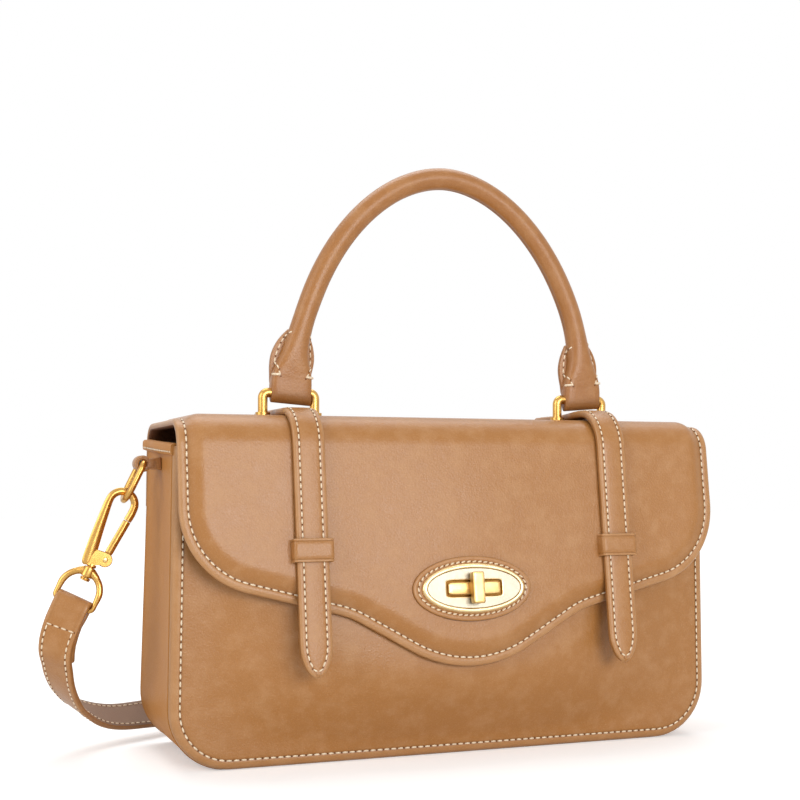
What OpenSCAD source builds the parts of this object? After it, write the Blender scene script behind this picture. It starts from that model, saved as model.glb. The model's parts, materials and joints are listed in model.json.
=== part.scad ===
// Small leather satchel with a flap, a top handle, a turn lock and a clip-on shoulder strap.
// X runs to the right, Y to the back and Z up. The origin is on the floor under the bag's middle.

/* [Body] */
// Width of the bag across its base
body_w = 260; // [220:1:320]
// Depth of the bag across its base
body_d = 76; // [60:1:100]
// Height of the front panel
front_h = 137; // [125:1:150]
// How much higher the back panel is than the front panel
back_rise = 3.5; // [0:0.5:4]
// How much narrower each side is at the top of the front panel
side_taper = 2.5; // [0:0.5:6]
// How far the back panel leans in at its top
back_lean = 12; // [4:1:18]
// Radius of the bottom corners
corner_r = 32; // [15:1:45]
// Thickness of the body leather
leather_t = 2.4; // [1.2:0.1:3.5]
// How far the front panel swells at its middle
front_crown = 15; // [6:1:15]
// How far the back panel swells at its middle
back_crown = 5; // [0:1:12]
// Height of the folded band round the mouth
rim_h = 5; // [3:0.5:10]
// Thickness that the folded band adds on the outside
rim_t = 0.8; // [0.4:0.1:2]
// Thickness of the lining
lining_t = 1.2; // [0.6:0.1:2]
// Thickness of the stiff board in the base
board_t = 2; // [1:0.1:4]

/* [Flap] */
// How far each side of the flap stands in from the side of the bag
flap_in = 2.5; // [1:0.5:10]
// Thickness of the flap
flap_t = 3; // [1.5:0.1:4]
// How far the padded middle of the flap stands above its edge
flap_pad = 2.5; // [0:0.1:4]
// Width of the slope from the flap's edge to its padded middle
pad_edge_w = 13; // [8:1:25]
// Height of the flap's top above the front panel
flap_rise = 14; // [13:1:28]
// Outer radius of the bend at the front of the flap
front_bend_r = 15; // [8:1:18]
// Outer radius of the bend at the back of the flap
rear_bend_r = 13; // [8:1:15]
// Lean of the flap's front face from upright, in degrees
flap_lean = 7.75; // [5:0.25:10]
// Distance of the flap's front face from the middle of the bag, where it leaves the bend
flap_front_y = 46; // [44:0.5:56]
// Depth of the flap's side, down to the corner of its shoulder
shoulder_drop = 55; // [40:1:70]
// Radius of the flap's lower corners
shoulder_r = 37; // [10:1:38]
// Distance of the flap's waist from its middle
waist_x = 55; // [40:1:65]
// Depth of the flap's waist
waist_drop = 74; // [66:1:80]
// Radius of the flap's waist
waist_r = 40; // [10:1:50]
// Depth of the point of the flap before it is rounded
tip_drop = 105.5; // [95:0.5:110]
// Radius of the flap's tip
tip_r = 56; // [20:1:60]
// Length of the flap that is sewn to the back panel
flap_sewn_l = 28; // [15:1:60]

/* [Front straps] */
// Distance of each front strap from the middle
strap_x = 72.5; // [50:0.5:95]
// Width of the front straps
strap_w = 14; // [8:0.5:20]
// Thickness of the front straps
strap_t = 3; // [1.5:0.1:3.2]
// Distance of the strap's tip below the bend
strap_drop = 99; // [85:1:110]
// Length of the strap's pointed tip
strap_tip_l = 14; // [6:1:20]
// Width of the keeper leather
keeper_h = 10; // [5:0.5:16]
// Thickness of the keeper leather
keeper_t = 1.5; // [0.8:0.1:2.5]
// Distance of the keeper's middle below the bend
keeper_drop = 45.5; // [35:0.5:50]

/* [Handle] */
// Height of the handle's middle line above the bridge bars
handle_rise = 101; // [80:1:135]
// Diameter of the handle roll
handle_d = 10; // [8:0.5:14]
// Thickness of the handle leather
handle_t = 1.6; // [1:0.1:2.5]
// Width of the foot at each end of the handle
tab_w = 18; // [14:0.5:19]
// Height of the handle's sewn ends above the bar
tab_h = 33; // [25:1:45]
// Thickness of the wings sewn behind the foot
tab_t = 2.6; // [2:0.2:3.4]
// Diameter of the bridge wire
bridge_wire_d = 4.3; // [3:0.1:5]
// Distance between the middles of a bridge's legs
bridge_w = 23.8; // [22:0.2:30]
// Height of the bridge bar's middle above the flap
bridge_h = 10.5; // [10:0.5:16]
// Distance of the bridges in front of the bag's middle
bridge_y = 17; // [8:1:20]

/* [Turn lock] */
// Depth of the lock's middle below the bend
lock_drop = 63.3; // [55:0.1:68]
// Length of the lock's leather patch
patch_l = 56; // [50:1:66]
// Height of the lock's leather patch
patch_h = 28.5; // [24:0.5:32]
// Thickness of the lock's leather patch
patch_t = 1.5; // [0.8:0.1:2.5]
// Length of the lock plate
plate_l = 48.5; // [42:0.5:52]
// Height of the lock plate
plate_h = 22; // [18:0.5:26]
// Thickness of the lock plate
plate_t = 1.6; // [1:0.1:2.5]
// Length of the slot in the lock plate
slot_l = 26.6; // [20:0.2:30]
// Height of the slot in the lock plate
slot_h = 6.8; // [5:0.1:9]
// Height of the turn knob
knob_h = 13.3; // [10:0.1:16]
// Width of the turn knob
knob_w = 5.1; // [4.6:0.1:6.5]
// Thickness of the turn knob
knob_t = 2.8; // [1.5:0.1:4]
// Gap between the lock plate and the knob
knob_gap = 1.7; // [1:0.1:4]
// Diameter of the knob's stem
stem_d = 4; // [3:0.1:4.5]

/* [Clips] */
// Distance of the side loops below the top of the front panel
loop_drop = 7; // [5:1:27]
// Distance of the side loops from the wall of the bag
loop_out = 7; // [5:0.5:12]
// Length of the side loop leather
loop_l = 7; // [4:0.5:9]
// Outer diameter of the side loop
loop_d = 7.3; // [5.5:0.1:10]
// Outer length of the side rings
ring_l = 20.5; // [16:0.5:26]
// Outer width of the side rings
ring_w = 16; // [14:0.5:20]
// Diameter of the ring wire
ring_wire_d = 3; // [2:0.1:3.4]
// Lean of the left ring and hook from upright, in degrees
left_lean = 26; // [18:1:40]
// Lean of the right ring from upright, in degrees
right_lean = 76; // [60:1:80]
// Slant of the right hook towards the back, in degrees
right_slant = 40; // [30:1:50]
// Length of the snap hook from its swivel to its top
hook_l = 37; // [32:0.5:45]
// Width of the snap hook at its bow
hook_w = 13.6; // [12:0.2:17]
// Thickness of the snap hook
hook_t = 3; // [2:0.1:4]
// Outer width of the swivel loop
swivel_w = 20; // [18:0.5:24]
// Diameter of the swivel loop's wire
swivel_wire_d = 2.3; // [1.6:0.1:3]

/* [Shoulder strap] */
// Width of the shoulder strap
shoulder_w = 15; // [10:0.5:17]
// Thickness of the shoulder strap
shoulder_t = 2.6; // [1.5:0.1:3.5]

/* [Hidden] */
$fn = 48;
// Clearance between pieces that only touch
touch = 0.3;
// Clearance round a shaft that turns
run = 0.05;
// Overrun of cuts
over = 1;
// Steps in each rounded corner of an outline
corner_steps = 8;
// Steps across a swollen panel, and how much of the leather's thickness is rounded off at each
crown_shares = [[1, 0.8], [0.992, 0.3], [0.975, 0], [0.9, 0], [0.8, 0], [0.68, 0], [0.55, 0], [0.3, 0]];
// Height of the middle of the swell, as a share of the panel's height
crown_middle_share = 0.42;
// How far below its end the sewn flap keeps the back panel flat, as a multiple of its length
back_clear = 1.7;
// Slopes across the flap's padded edge, and how much of its thickness is rounded off at each
pad_shares = [[1, 0.3], [0.95, 0], [0.75, 0], [0.4, 0], [0, 0]];

leather = [0.70, 0.49, 0.31];
leather_dark = [0.58, 0.38, 0.23];
gold = [0.85, 0.65, 0.30];
lining_colour = [0.27, 0.19, 0.15];
board_colour = [0.55, 0.50, 0.42];

// Rounds the corners of a path of [x, y, radius] points; the ends stay sharp
function unit(v) = v / norm(v);
function corner_arc(a, b, c, r) =
    let (u = unit(a - b), v = unit(c - b), half = acos(u * v) / 2)
    let (middle = b + unit(u + v) * r / sin(half))
    let (from = b + u * r / tan(half), to = b + v * r / tan(half))
    let (start = atan2(from[1] - middle[1], from[0] - middle[0]))
    let (raw = atan2(to[1] - middle[1], to[0] - middle[0]) - start)
    let (turn = raw > 180 ? raw - 360 : raw < -180 ? raw + 360 : raw)
    [
        for (i = [0:corner_steps])
            let (at = start + turn * i / corner_steps)
            middle + r * [cos(at), sin(at)]
    ];
function flat(p) = [p[0], p[1]];
function rounded_path(p) = [
    for (i = [0:len(p) - 1])
        each (p[i][2] == 0 ? [flat(p[i])] : corner_arc(flat(p[i - 1]), flat(p[i]), flat(p[i + 1]), p[i][2]))
];
function mirrored(p) = [for (i = [len(p) - 1:-1:0]) [-p[i][0], p[i][1]]];
function backwards(p) = [for (i = [len(p) - 1:-1:0]) p[i]];
function smooth(t) = t * t * (3 - 2 * t);

// Outline of the body seen from the front, narrowed by inset and cut off at height h
function side_x(z) = body_w / 2 - side_taper * z / front_h;
function body_outline(h, inset) = rounded_path([
    [side_x(h) - inset, h, 0],
    [side_x(inset) - inset, inset, max(corner_r - inset, leather_t)],
    [-(side_x(inset) - inset), inset, max(corner_r - inset, leather_t)],
    [-(side_x(h) - inset), h, 0]
]);

// Planes of the front and back of the body
half_d = body_d / 2;
back_h = front_h + back_rise;
flap_top_h = front_h + flap_rise;
loop_z = front_h - loop_drop;
function back_y(z) = half_d - back_lean * z / back_h;

// Outline of the body seen from the side, drawn in by inset at both ends
module side_profile(inset, top_front, top_back) {
    polygon([
        [-half_d + inset, 0],
        [back_y(0) - inset, 0],
        [back_y(top_back) - inset, top_back],
        [-half_d + inset, top_front]
    ]);
}

// Turns a drawing in Y and Z into a solid as wide as w, centred on the bag
module across(w) {
    translate([-w / 2, 0, 0])
        rotate([90, 0, 90])
            linear_extrude(w)
                children();
}

// Turns a drawing in X and Z into a solid from y = from to y = to
module along(from, to) {
    translate([0, to, 0])
        rotate([90, 0, 0])
            linear_extrude(to - from)
                children();
}

// The swell fades towards the outline, and stays under the lock base in front and the sewn flap behind
function swell(share, crown) = share < 0.5 ? crown : crown * (1 + cos(360 * (share - 0.5))) / 2;
function front_room(z) = -half_d - face_y + (face_z - z) * tan(flap_lean) - lock_depth / cos(flap_lean);
function back_fade(z) = smooth(max(0, min(1, (rear_bend_z - back_clear * flap_sewn_l - z) / flap_sewn_l)));

// A sheet that swells from its outline to its middle; side is -1 on the front and 1 on the back
module swollen_panel(outline, h, crown, side, lean) {
    count = len(outline);
    middle = [0, h * crown_middle_share];
    rings = len(crown_shares);
    function plane(z) = side * half_d - side * lean * z / h;
    function rise(s, z) = side < 0
        ? min(swell(s, crown), max(0, front_room(z)))
        : swell(s, crown) * back_fade(z);
    function ring_points(depth) = [
        for (s = crown_shares)
            for (p = outline)
                let (q = middle + s[0] * (p - middle), drop = max(depth, s[1] * leather_t))
                [q[0], plane(q[1]) + side * (rise(s[0], q[1]) - drop), q[1]]
    ];
    function middle_point(depth) = [0, plane(middle[1]) + side * (rise(0, middle[1]) - depth), middle[1]];
    points = concat(ring_points(0), [middle_point(0)], ring_points(leather_t), [middle_point(leather_t)]);
    inner = count * rings + 1;
    function strip(base, flip) = [
        for (k = [0:rings - 2])
            for (i = [0:count - 1])
                let (a = base + k * count + i, b = base + k * count + (i + 1) % count)
                each (flip
                    ? [[a, b + count, b], [a, a + count, b + count]]
                    : [[a, b, b + count], [a, b + count, a + count]])
    ];
    function fan(base, flip) = [
        for (i = [0:count - 1])
            let (a = base + (rings - 1) * count + i, b = base + (rings - 1) * count + (i + 1) % count)
            (flip ? [a, base + rings * count, b] : [a, b, base + rings * count])
    ];
    wall = [
        for (i = [0:count - 1])
            let (j = (i + 1) % count)
            each (side < 0
                ? [[i, inner + i, inner + j], [i, inner + j, j]]
                : [[i, inner + j, inner + i], [i, j, inner + j]])
    ];
    faces = concat(strip(0, side > 0), fan(0, side > 0), strip(inner, side < 0), fan(inner, side < 0), wall);
    polyhedron(points, faces);
}

module front_panel() {
    color(leather)
        swollen_panel(body_outline(front_h, 0), front_h, front_crown, -1, 0);
}

module back_panel() {
    color(leather)
        swollen_panel(body_outline(back_h, 0), back_h, back_crown, 1, back_lean);
}

// Band of leather down the left side, under the base and up the right side
module gusset() {
    color(leather)
        intersection() {
            union() {
                along(-body_d, body_d)
                    difference() {
                        polygon(body_outline(back_h, 0));
                        polygon(body_outline(back_h + over, leather_t));
                    }
                for (side = [-1, 1])
                    rim_band(side);
            }
            across(body_w + 2 * corner_r)
                side_profile(leather_t, front_h, back_h);
        }
}

module rim_band(side) {
    intersection() {
        along(-body_d, body_d)
            scale([side, 1])
                polygon([
                    [side_x(0) - leather_t, 0],
                    [side_x(0) + rim_t, 0],
                    [side_x(back_h) + rim_t, back_h],
                    [side_x(back_h) - leather_t, back_h]
                ]);
        across(body_w + 2 * corner_r)
            polygon([
                [-body_d, rim_line(-body_d) - rim_h],
                [body_d, rim_line(body_d) - rim_h],
                [body_d, back_h + rim_h],
                [-body_d, back_h + rim_h]
            ]);
    }
}

// Height of the mouth at depth y
function rim_line(y) = front_h + (back_h - front_h) * (y + half_d) / (body_d - back_lean);

// Open tub inside the body
lining_inset = leather_t + touch;
lining_floor = lining_inset + board_t + touch;
module lining() {
    color(lining_colour)
        difference() {
            tub(lining_inset, lining_floor, 0);
            tub(lining_inset + lining_t, lining_floor + lining_t, over);
        }
}

module tub(inset, floor_z, extra) {
    intersection() {
        along(-body_d, body_d)
            intersection() {
                polygon(body_outline(back_h + extra, inset));
                translate([-body_w, floor_z])
                    square([2 * body_w, back_h + extra]);
            }
        across(2 * body_w)
            side_profile(inset, front_h + extra, back_h + extra);
    }
}

module base_board() {
    color(board_colour)
        translate([0, 0, lining_inset])
            linear_extrude(board_t)
                square([body_w - 2 * corner_r, body_d - 2 * lining_inset], center = true);
}

// Frame of the flap's front face: origin at the end of the bend, X across, -Z down the face, -Y outwards
bend_z = flap_top_h - front_bend_r;
bend_y = -flap_front_y + front_bend_r * cos(flap_lean);
face_y = bend_y - front_bend_r * cos(flap_lean);
face_z = bend_z + front_bend_r * sin(flap_lean);
module on_face() {
    translate([0, face_y, face_z])
        rotate([-flap_lean, 0, 0])
            children();
}

flap_w = body_w - 2 * flap_in;
flap_half = flap_w / 2;
half_outline = rounded_path([
    [flap_half, 0, 0],
    [flap_half, -shoulder_drop, shoulder_r],
    [waist_x, -waist_drop, waist_r],
    [0, -tip_drop, tip_r],
    [-waist_x, -waist_drop, 0]
]);
// Points of the right half, down to the middle of the tip
right_half = [for (i = [0:len(half_outline) - 2]) if (half_outline[i][0] > run) half_outline[i]];
tip_middle = [[0, -tip_drop + tip_r * (norm([waist_x, tip_drop - waist_drop]) / waist_x - 1)]];
flap_outline = concat(right_half, tip_middle, mirrored(right_half));

// Half width to the flap's padded middle, and how far the flap stands back at a share of the slope
pad_half = flap_half - pad_edge_w;
function pad_fall(share) = flap_pad * smooth(share);
function pad_depth(s, inner) = pad_fall(s[0]) + (inner ? 1 - s[1] : s[1]) * flap_t;

// Cross-section of the flap at its top and its bends, with the padded middle raised
function section_side(inner) = [
    for (s = backwards(pad_shares))
        [pad_half + s[0] * pad_edge_w, -pad_depth(s, inner)]
];
function section_points() = concat(
    section_side(false),
    backwards(section_side(true)),
    backwards(mirrored(section_side(true))),
    mirrored(section_side(false))
);
module flap_section() {
    polygon(section_points());
}

// Where the flap lies on the back panel
back_tilt = atan(back_lean / back_h);
back_gap = touch + flap_pad + flap_t;
rear_bend_z = flap_top_h - rear_bend_r;
rear_face_y = back_y(rear_bend_z) + back_gap * cos(back_tilt);
rear_bend_y = rear_face_y - rear_bend_r / cos(back_tilt);

// Part of the flap that is sewn to the back panel, flat and without padding
module flap_back_section() {
    color(leather)
        translate([0, rear_bend_y, rear_bend_z])
            rotate([back_tilt, 0, 0])
                translate([-flap_half, rear_bend_r - flap_pad - flap_t, -flap_sewn_l])
                    cube([flap_w, flap_t, flap_sewn_l]);
}

module flap_rear_bend() {
    color(leather)
        translate([0, rear_bend_y, rear_bend_z])
            bend_turn(rear_bend_r, 90 - back_tilt, back_tilt);
}

module flap_front_bend() {
    color(leather)
        translate([0, bend_y, bend_z])
            mirror([0, 1, 0])
                bend_turn(front_bend_r, 90 - flap_lean, flap_lean);
}

// The flap's section turned about X, from start degrees above the Y axis through turn degrees
module bend_turn(r, turn, start) {
    rotate([start, 0, 0])
        rotate([0, 90, 0])
            rotate([0, 0, 90])
                rotate_extrude(angle = turn)
                    translate([r, 0])
                        rotate(-90)
                            flap_section();
}

top_front_y = bend_y;
top_rear_y = rear_bend_y;
module flap_top_section() {
    color(leather)
        difference() {
            translate([0, top_rear_y, flap_top_h])
                rotate([90, 0, 0])
                    linear_extrude(top_rear_y - top_front_y)
                        flap_section();
            at_bridge_legs()
                translate([0, 0, -flap_t - over])
                    cylinder(d = screw_d + 2 * run, h = flap_t + 2 * over);
        }
}

// Ends of the front part of the flap follow rings drawn about the middle of its top edge
module flap_front_section() {
    color(leather)
        on_face()
            difference() {
                translate([0, 0, -run])
                    padded_front();
                at_lock()
                    lock_hole(seat_l + 2 * touch, seat_h + 2 * touch, -flap_t - flap_pad - over, over);
                for (side = [-1, 1])
                    at_lock()
                        translate([side * post_x, 0, 0])
                            rotate([-90, 0, 0])
                                cylinder(d = post_d + 2 * run, h = 2 * (flap_t + flap_pad), center = true);
            }
}

module padded_front() {
    count = len(flap_outline);
    rings = len(pad_shares);
    // Shrink of the outline towards the middle of its top edge at each step of the slope
    function shrink(share) = 1 - (1 - share) * pad_edge_w / flap_half;
    function ring(s, inner) = [
        for (p = flap_outline)
            [p[0] * shrink(s[0]), pad_depth(s, inner), p[1] * shrink(s[0])]
    ];
    points = concat(
        [for (s = pad_shares) each ring(s, false)], [[0, 0, 0]],
        [for (s = pad_shares) each ring(s, true)], [[0, flap_t, 0]]
    );
    inner = count * rings + 1;
    hub = count * rings;
    function strip(base, flip) = [
        for (k = [0:rings - 2])
            for (i = [0:count - 2])
                let (a = base + k * count + i, b = a + 1)
                each (flip
                    ? [[a, b + count, b], [a, a + count, b + count]]
                    : [[a, b, b + count], [a, b + count, a + count]])
    ];
    function fan(base, flip) = [
        for (i = [0:count - 2])
            let (a = base + (rings - 1) * count + i)
            (flip ? [a, base + hub, a + 1] : [a, a + 1, base + hub])
    ];
    rim = [
        for (i = [0:count - 2])
            each [[i, inner + i, inner + i + 1], [i, inner + i + 1, i + 1]]
    ];
    function end_point(k, last) = k < rings ? k * count + (last ? count - 1 : 0) : hub;
    top = [
        for (k = [0:rings - 1])
            for (last = [false, true])
                let (a = end_point(k, last), b = end_point(k + 1, last))
                each (last
                    ? [[a, inner + a, inner + b], [a, inner + b, b]]
                    : [[a, inner + b, inner + a], [a, b, inner + b]])
    ];
    faces = concat(strip(0, false), fan(0, false), strip(inner, true), fan(inner, true), rim, top);
    polyhedron(points, faces);
}

// Front straps
strap_rest = strap_t + touch;
tip_steps = 10;
tip_power = 0.62;
strap_bevel = 0.6;
// Section of a strap, X across and Y outwards from the side that lies on the flap
module strap_section() {
    polygon([
        [-strap_w / 2, 0],
        [strap_w / 2, 0],
        [strap_w / 2, strap_t - strap_bevel],
        [strap_w / 2 - strap_bevel, strap_t],
        [-strap_w / 2 + strap_bevel, strap_t],
        [-strap_w / 2, strap_t - strap_bevel]
    ]);
}

module strap_plan() {
    left_side = [
        for (i = [0:tip_steps])
            let (t = i / tip_steps)
            [-strap_w / 2 * pow(1 - t * t, tip_power), strap_tip_l * (1 - t) - strap_drop]
    ];
    polygon(concat([[-strap_w / 2, 0]], left_side, mirrored(left_side), [[strap_w / 2, 0]]));
}

module strap_front(side) {
    color(leather)
        on_face()
            translate([side * strap_x, -touch, 0])
                intersection() {
                    rotate([90, 0, 0])
                        linear_extrude(strap_t)
                            strap_plan();
                    translate([0, 0, -strap_drop])
                        linear_extrude(strap_drop)
                            mirror([0, 1, 0])
                                strap_section();
                }
}

module strap_bend(side) {
    color(leather)
        translate([side * strap_x, bend_y, bend_z])
            mirror([0, 1, 0])
                rotate([flap_lean, 0, 0])
                    rotate([0, 90, 0])
                        rotate([0, 0, 90])
                            rotate_extrude(angle = 90 - flap_lean)
                                translate([front_bend_r + touch, 0])
                                    rotate(-90)
                                        strap_section();
}

// The strap ends on the flap behind the bridge, where it is sewn down
strap_top_end = top_rear_y - touch;
module strap_top(side) {
    color(leather)
        translate([side * strap_x, strap_top_end, flap_top_h + touch])
            rotate([90, 0, 0])
                linear_extrude(strap_top_end - top_front_y)
                    strap_section();
}

module keeper(side) {
    inner_w = strap_w + 2 * touch;
    color(leather)
        on_face()
            translate([side * strap_x, 0, -keeper_drop - keeper_h / 2])
                linear_extrude(keeper_h)
                    difference() {
                        intersection() {
                            translate([-inner_w / 2 - keeper_t, -strap_rest - touch - keeper_t])
                                square([inner_w + 2 * keeper_t, strap_rest + touch + keeper_t]);
                            offset(r = keeper_t)
                                translate([-inner_w / 2, -strap_rest - touch])
                                    square([inner_w, strap_rest + touch + over]);
                        }
                        translate([-inner_w / 2, -strap_rest - touch])
                            square([inner_w, strap_rest + touch + over]);
                    }
}

// Bridges that carry the handle
screw_d = 2.6;
screw_head_d = 6.5;
screw_head_h = 1.4;
screw_bite = 5;
collar_h = 1.8;
collar_wall = 1.1;
bridge_bend_share = 0.55;
bridge_bend_r = bridge_wire_d * bridge_bend_share;
leg_h = bridge_h - bridge_bend_r;
module at_bridge_legs() {
    for (side = [-1, 1])
        for (leg = [-1, 1])
            translate([side * strap_x + leg * bridge_w / 2, -bridge_y, flap_top_h])
                children();
}

module bridge(side) {
    color(gold)
        translate([side * strap_x, -bridge_y, flap_top_h])
            difference() {
                union() {
                    for (leg = [-1, 1]) {
                        translate([leg * bridge_w / 2, 0, 0])
                            cylinder(d = bridge_wire_d, h = leg_h);
                        translate([leg * bridge_w / 2, 0, 0])
                            cylinder(d = bridge_wire_d + 2 * collar_wall, h = collar_h);
                        translate([leg * (bridge_w / 2 - bridge_bend_r), 0, leg_h])
                            rotate([90, 0, 0])
                                rotate([0, 0, leg > 0 ? 0 : 90])
                                    rotate_extrude(angle = 90)
                                        translate([bridge_bend_r, 0])
                                            circle(d = bridge_wire_d);
                    }
                    translate([-bridge_w / 2 + bridge_bend_r, 0, bridge_h])
                        rotate([0, 90, 0])
                            cylinder(d = bridge_wire_d, h = bridge_w - 2 * bridge_bend_r);
                }
                for (leg = [-1, 1])
                    translate([leg * bridge_w / 2, 0, -over])
                        cylinder(d = screw_d + 2 * run, h = screw_bite + touch + over);
            }
}

module bridge_screws() {
    color(gold)
        at_bridge_legs() {
            translate([0, 0, -flap_t])
                cylinder(d = screw_d, h = flap_t + screw_bite);
            translate([0, 0, -flap_t - screw_head_h])
                cylinder(d = screw_head_d, h = screw_head_h);
        }
}

// Sweeps a section of [across, outwards] points along rings of [place, across direction, outward direction]
module sweep(rings, section) {
    count = len(section);
    last = len(rings) - 1;
    points = [for (r = rings) for (p = section) r[0] + p[0] * r[1] + p[1] * r[2]];
    faces = concat(
        [for (k = [0:last - 1]) for (i = [0:count - 1])
            let (a = k * count + i, b = k * count + (i + 1) % count)
            each [[a, b + count, b], [a, a + count, b + count]]],
        [for (i = [1:count - 2]) [0, i, i + 1]],
        [for (i = [1:count - 2]) [last * count, last * count + i + 1, last * count + i]]
    );
    polyhedron(points, faces);
}
function ring_section(r, sides) = [
    for (i = [0:sides - 1])
        r * [cos(360 * i / sides), sin(360 * i / sides)]
];

// Handle: half of a slightly pointed ellipse that stands on the two bridge bars
handle_z = flap_top_h + bridge_h;
bar_loop_d = bridge_wire_d + 2 * run + 2 * handle_t;
handle_sides = 16;
handle_steps = 40;
handle_power = 1.06;
function handle_place(t) = [
    strap_x * sign(cos(t)) * pow(abs(cos(t)), handle_power),
    -bridge_y,
    handle_z + handle_rise * pow(sin(t), handle_power)
];
function handle_start(h) = asin(pow(h / handle_rise, 1 / handle_power));
function handle_rings(start) = [
    for (i = [0:handle_steps])
        let (t = start + (180 - 2 * start) * i / handle_steps)
        let (tangent = unit(handle_place(t + 1) - handle_place(t - 1)))
        [handle_place(t), cross([0, 1, 0], tangent), [0, 1, 0]]
];
foot_share = 0.6;
foot_h = tab_h * foot_share;
cover_start = handle_start(foot_h / 2);
core_start = handle_start(foot_h / 2 + handle_t);
module handle_cover() {
    color(leather)
        difference() {
            sweep(handle_rings(cover_start), ring_section(handle_d / 2, handle_sides));
            sweep(handle_rings(core_start), ring_section(handle_d / 2 - handle_t, handle_sides));
        }
}

module handle_core() {
    color(board_colour)
        sweep(handle_rings(core_start), ring_section(handle_d / 2 - handle_t - run, handle_sides));
}

// Leather end of the handle. The foot is a sleeve that widens and flattens towards the loop round the
// bridge bar: shares of its height, its half width and the way from the loop's to the roll's thickness.
foot_shares = [
    [0, 1, 0], [0.15, 1, 0.3], [0.3, 0.98, 0.6], [0.48, 0.9, 0.85],
    [0.65, 0.77, 1], [0.82, 0.67, 1], [1, 0.62, 1]
];
// Wings: shares of the end's height and of the wing's half width
wing_shares = [
    [0.27, 0.78], [0.38, 0.95], [0.5, 1], [0.62, 0.92], [0.75, 0.74], [0.87, 0.57], [0.95, 0.48]
];
wing_width_share = 1.2;
wing_back_share = 0.25;
foot_sides = 24;
foot_square_share = 0.7;
sleeve_t = handle_t / 3;
// Closed oval with flattened sides, of half size 1
foot_section = [
    for (i = [0:foot_sides - 1])
        let (c = cos(360 * i / foot_sides), s = sin(360 * i / foot_sides))
        [sign(c) * pow(abs(c), foot_square_share), sign(s) * pow(abs(s), foot_square_share)]
];
foot_rings = [
    for (p = foot_shares)
        let (t = handle_start(p[0] * foot_h))
        let (across = cross([0, 1, 0], unit(handle_place(t + 1) - handle_place(t))))
        let (deep = bar_loop_d / 2 + p[2] * (handle_d / 2 + sleeve_t - bar_loop_d / 2))
        [handle_place(t), across * p[1] * tab_w / 2, [0, deep, 0]]
];

module wings_outline() {
    function lean(h) = strap_x - handle_place(handle_start(h))[0];
    half = [
        for (p = wing_shares)
            [p[1] * wing_width_share * tab_w / 2, p[0] * tab_h, lean(p[0] * tab_h)]
    ];
    polygon(concat(
        [for (p = half) [p[0] - p[2], p[1]]],
        [for (p = backwards(half)) [-p[0] - p[2], p[1]]]
    ));
}

module handle_end(side) {
    wing_y = handle_d * wing_back_share;
    color(leather)
        mirror([side < 0 ? 1 : 0, 0, 0])
            difference() {
                union() {
                    sweep(foot_rings, foot_section);
                    translate([strap_x, -bridge_y, handle_z]) {
                        along(wing_y - tab_t / 2, wing_y + tab_t / 2)
                            wings_outline();
                        rotate([0, 90, 0])
                            cylinder(d = bar_loop_d, h = tab_w, center = true);
                    }
                }
                sweep(handle_rings(cover_start), ring_section(handle_d / 2 + run, handle_sides));
                translate([strap_x, -bridge_y, handle_z])
                    rotate([0, 90, 0])
                        cylinder(d = bridge_wire_d + 2 * run, h = tab_w + 2 * over, center = true);
            }
}

// Turn lock. The seat is a flanged block that fills the slot and carries the knob's stem.
seat_lip = 1.5;
seat_l = slot_l + 2 * seat_lip;
seat_h = slot_h + 2 * seat_lip;
seat_rise = 0.4;
backing_t = 1;
backing_in = 2;
backing_l = plate_l - 2 * backing_in;
backing_h = plate_h - 2 * backing_in;
post_d = 2;
post_x = (backing_l + slot_l) / 4;
rim_line_w = 1.6;
rim_bevel = 0.7;
patch_bevel = 0.5;
rim_line_t = 0.5;
plate_face = patch_t + plate_t;
knob_face = plate_face + knob_gap;
tail_out = 0.8;
tail = flap_t + backing_t + tail_out;
oval_sides = 72;
function oval(l, h) = [
    for (i = [0:oval_sides - 1])
        [l / 2 * cos(360 * i / oval_sides), h / 2 * sin(360 * i / oval_sides)]
];
module at_lock() {
    translate([0, 0, -lock_drop])
        children();
}
// Solid of a drawing on the flap's face, from height low to height high above it
module raised(low, high) {
    translate([0, -low, 0])
        rotate([90, 0, 0])
            linear_extrude(high - low)
                children();
}
// Oval block from height low to height high, with its upper edge bevelled
module bevelled(low, high, bevel, l, h) {
    hull() {
        raised(low, high - bevel)
            polygon(oval(l, h));
        raised(low, high)
            polygon(oval(l - 2 * bevel, h - 2 * bevel));
    }
}
module lock_hole(l, h, low, high) {
    raised(low, high)
        square([l, h], center = true);
}

module lock_patch() {
    color(leather)
        on_face()
            at_lock()
                difference() {
                    bevelled(0, patch_t, patch_bevel, patch_l, patch_h);
                    lock_hole(seat_l + 2 * touch, seat_h + 2 * touch, -over, patch_t + over);
                    at_posts()
                        cylinder(d = post_d + 2 * run, h = 4 * patch_t, center = true);
                }
}

module at_posts() {
    for (side = [-1, 1])
        translate([side * post_x, 0, 0])
            rotate([90, 0, 0])
                children();
}

module lock_plate() {
    color(gold)
        on_face()
            at_lock()
                difference() {
                    union() {
                        raised(patch_t, plate_face)
                            polygon(oval(plate_l - rim_line_w, plate_h - rim_line_w));
                        difference() {
                            bevelled(patch_t, plate_face + rim_line_t, rim_bevel, plate_l, plate_h);
                            raised(-over, plate_face + rim_line_t + over)
                                polygon(oval(plate_l - 2 * rim_line_w, plate_h - 2 * rim_line_w));
                        }
                        at_posts()
                            translate([0, 0, -flap_t - backing_t])
                                cylinder(d = post_d, h = flap_t + backing_t + plate_face - plate_t / 2);
                    }
                    lock_hole(slot_l, slot_h, -over, plate_face + over);
                }
}

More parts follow.
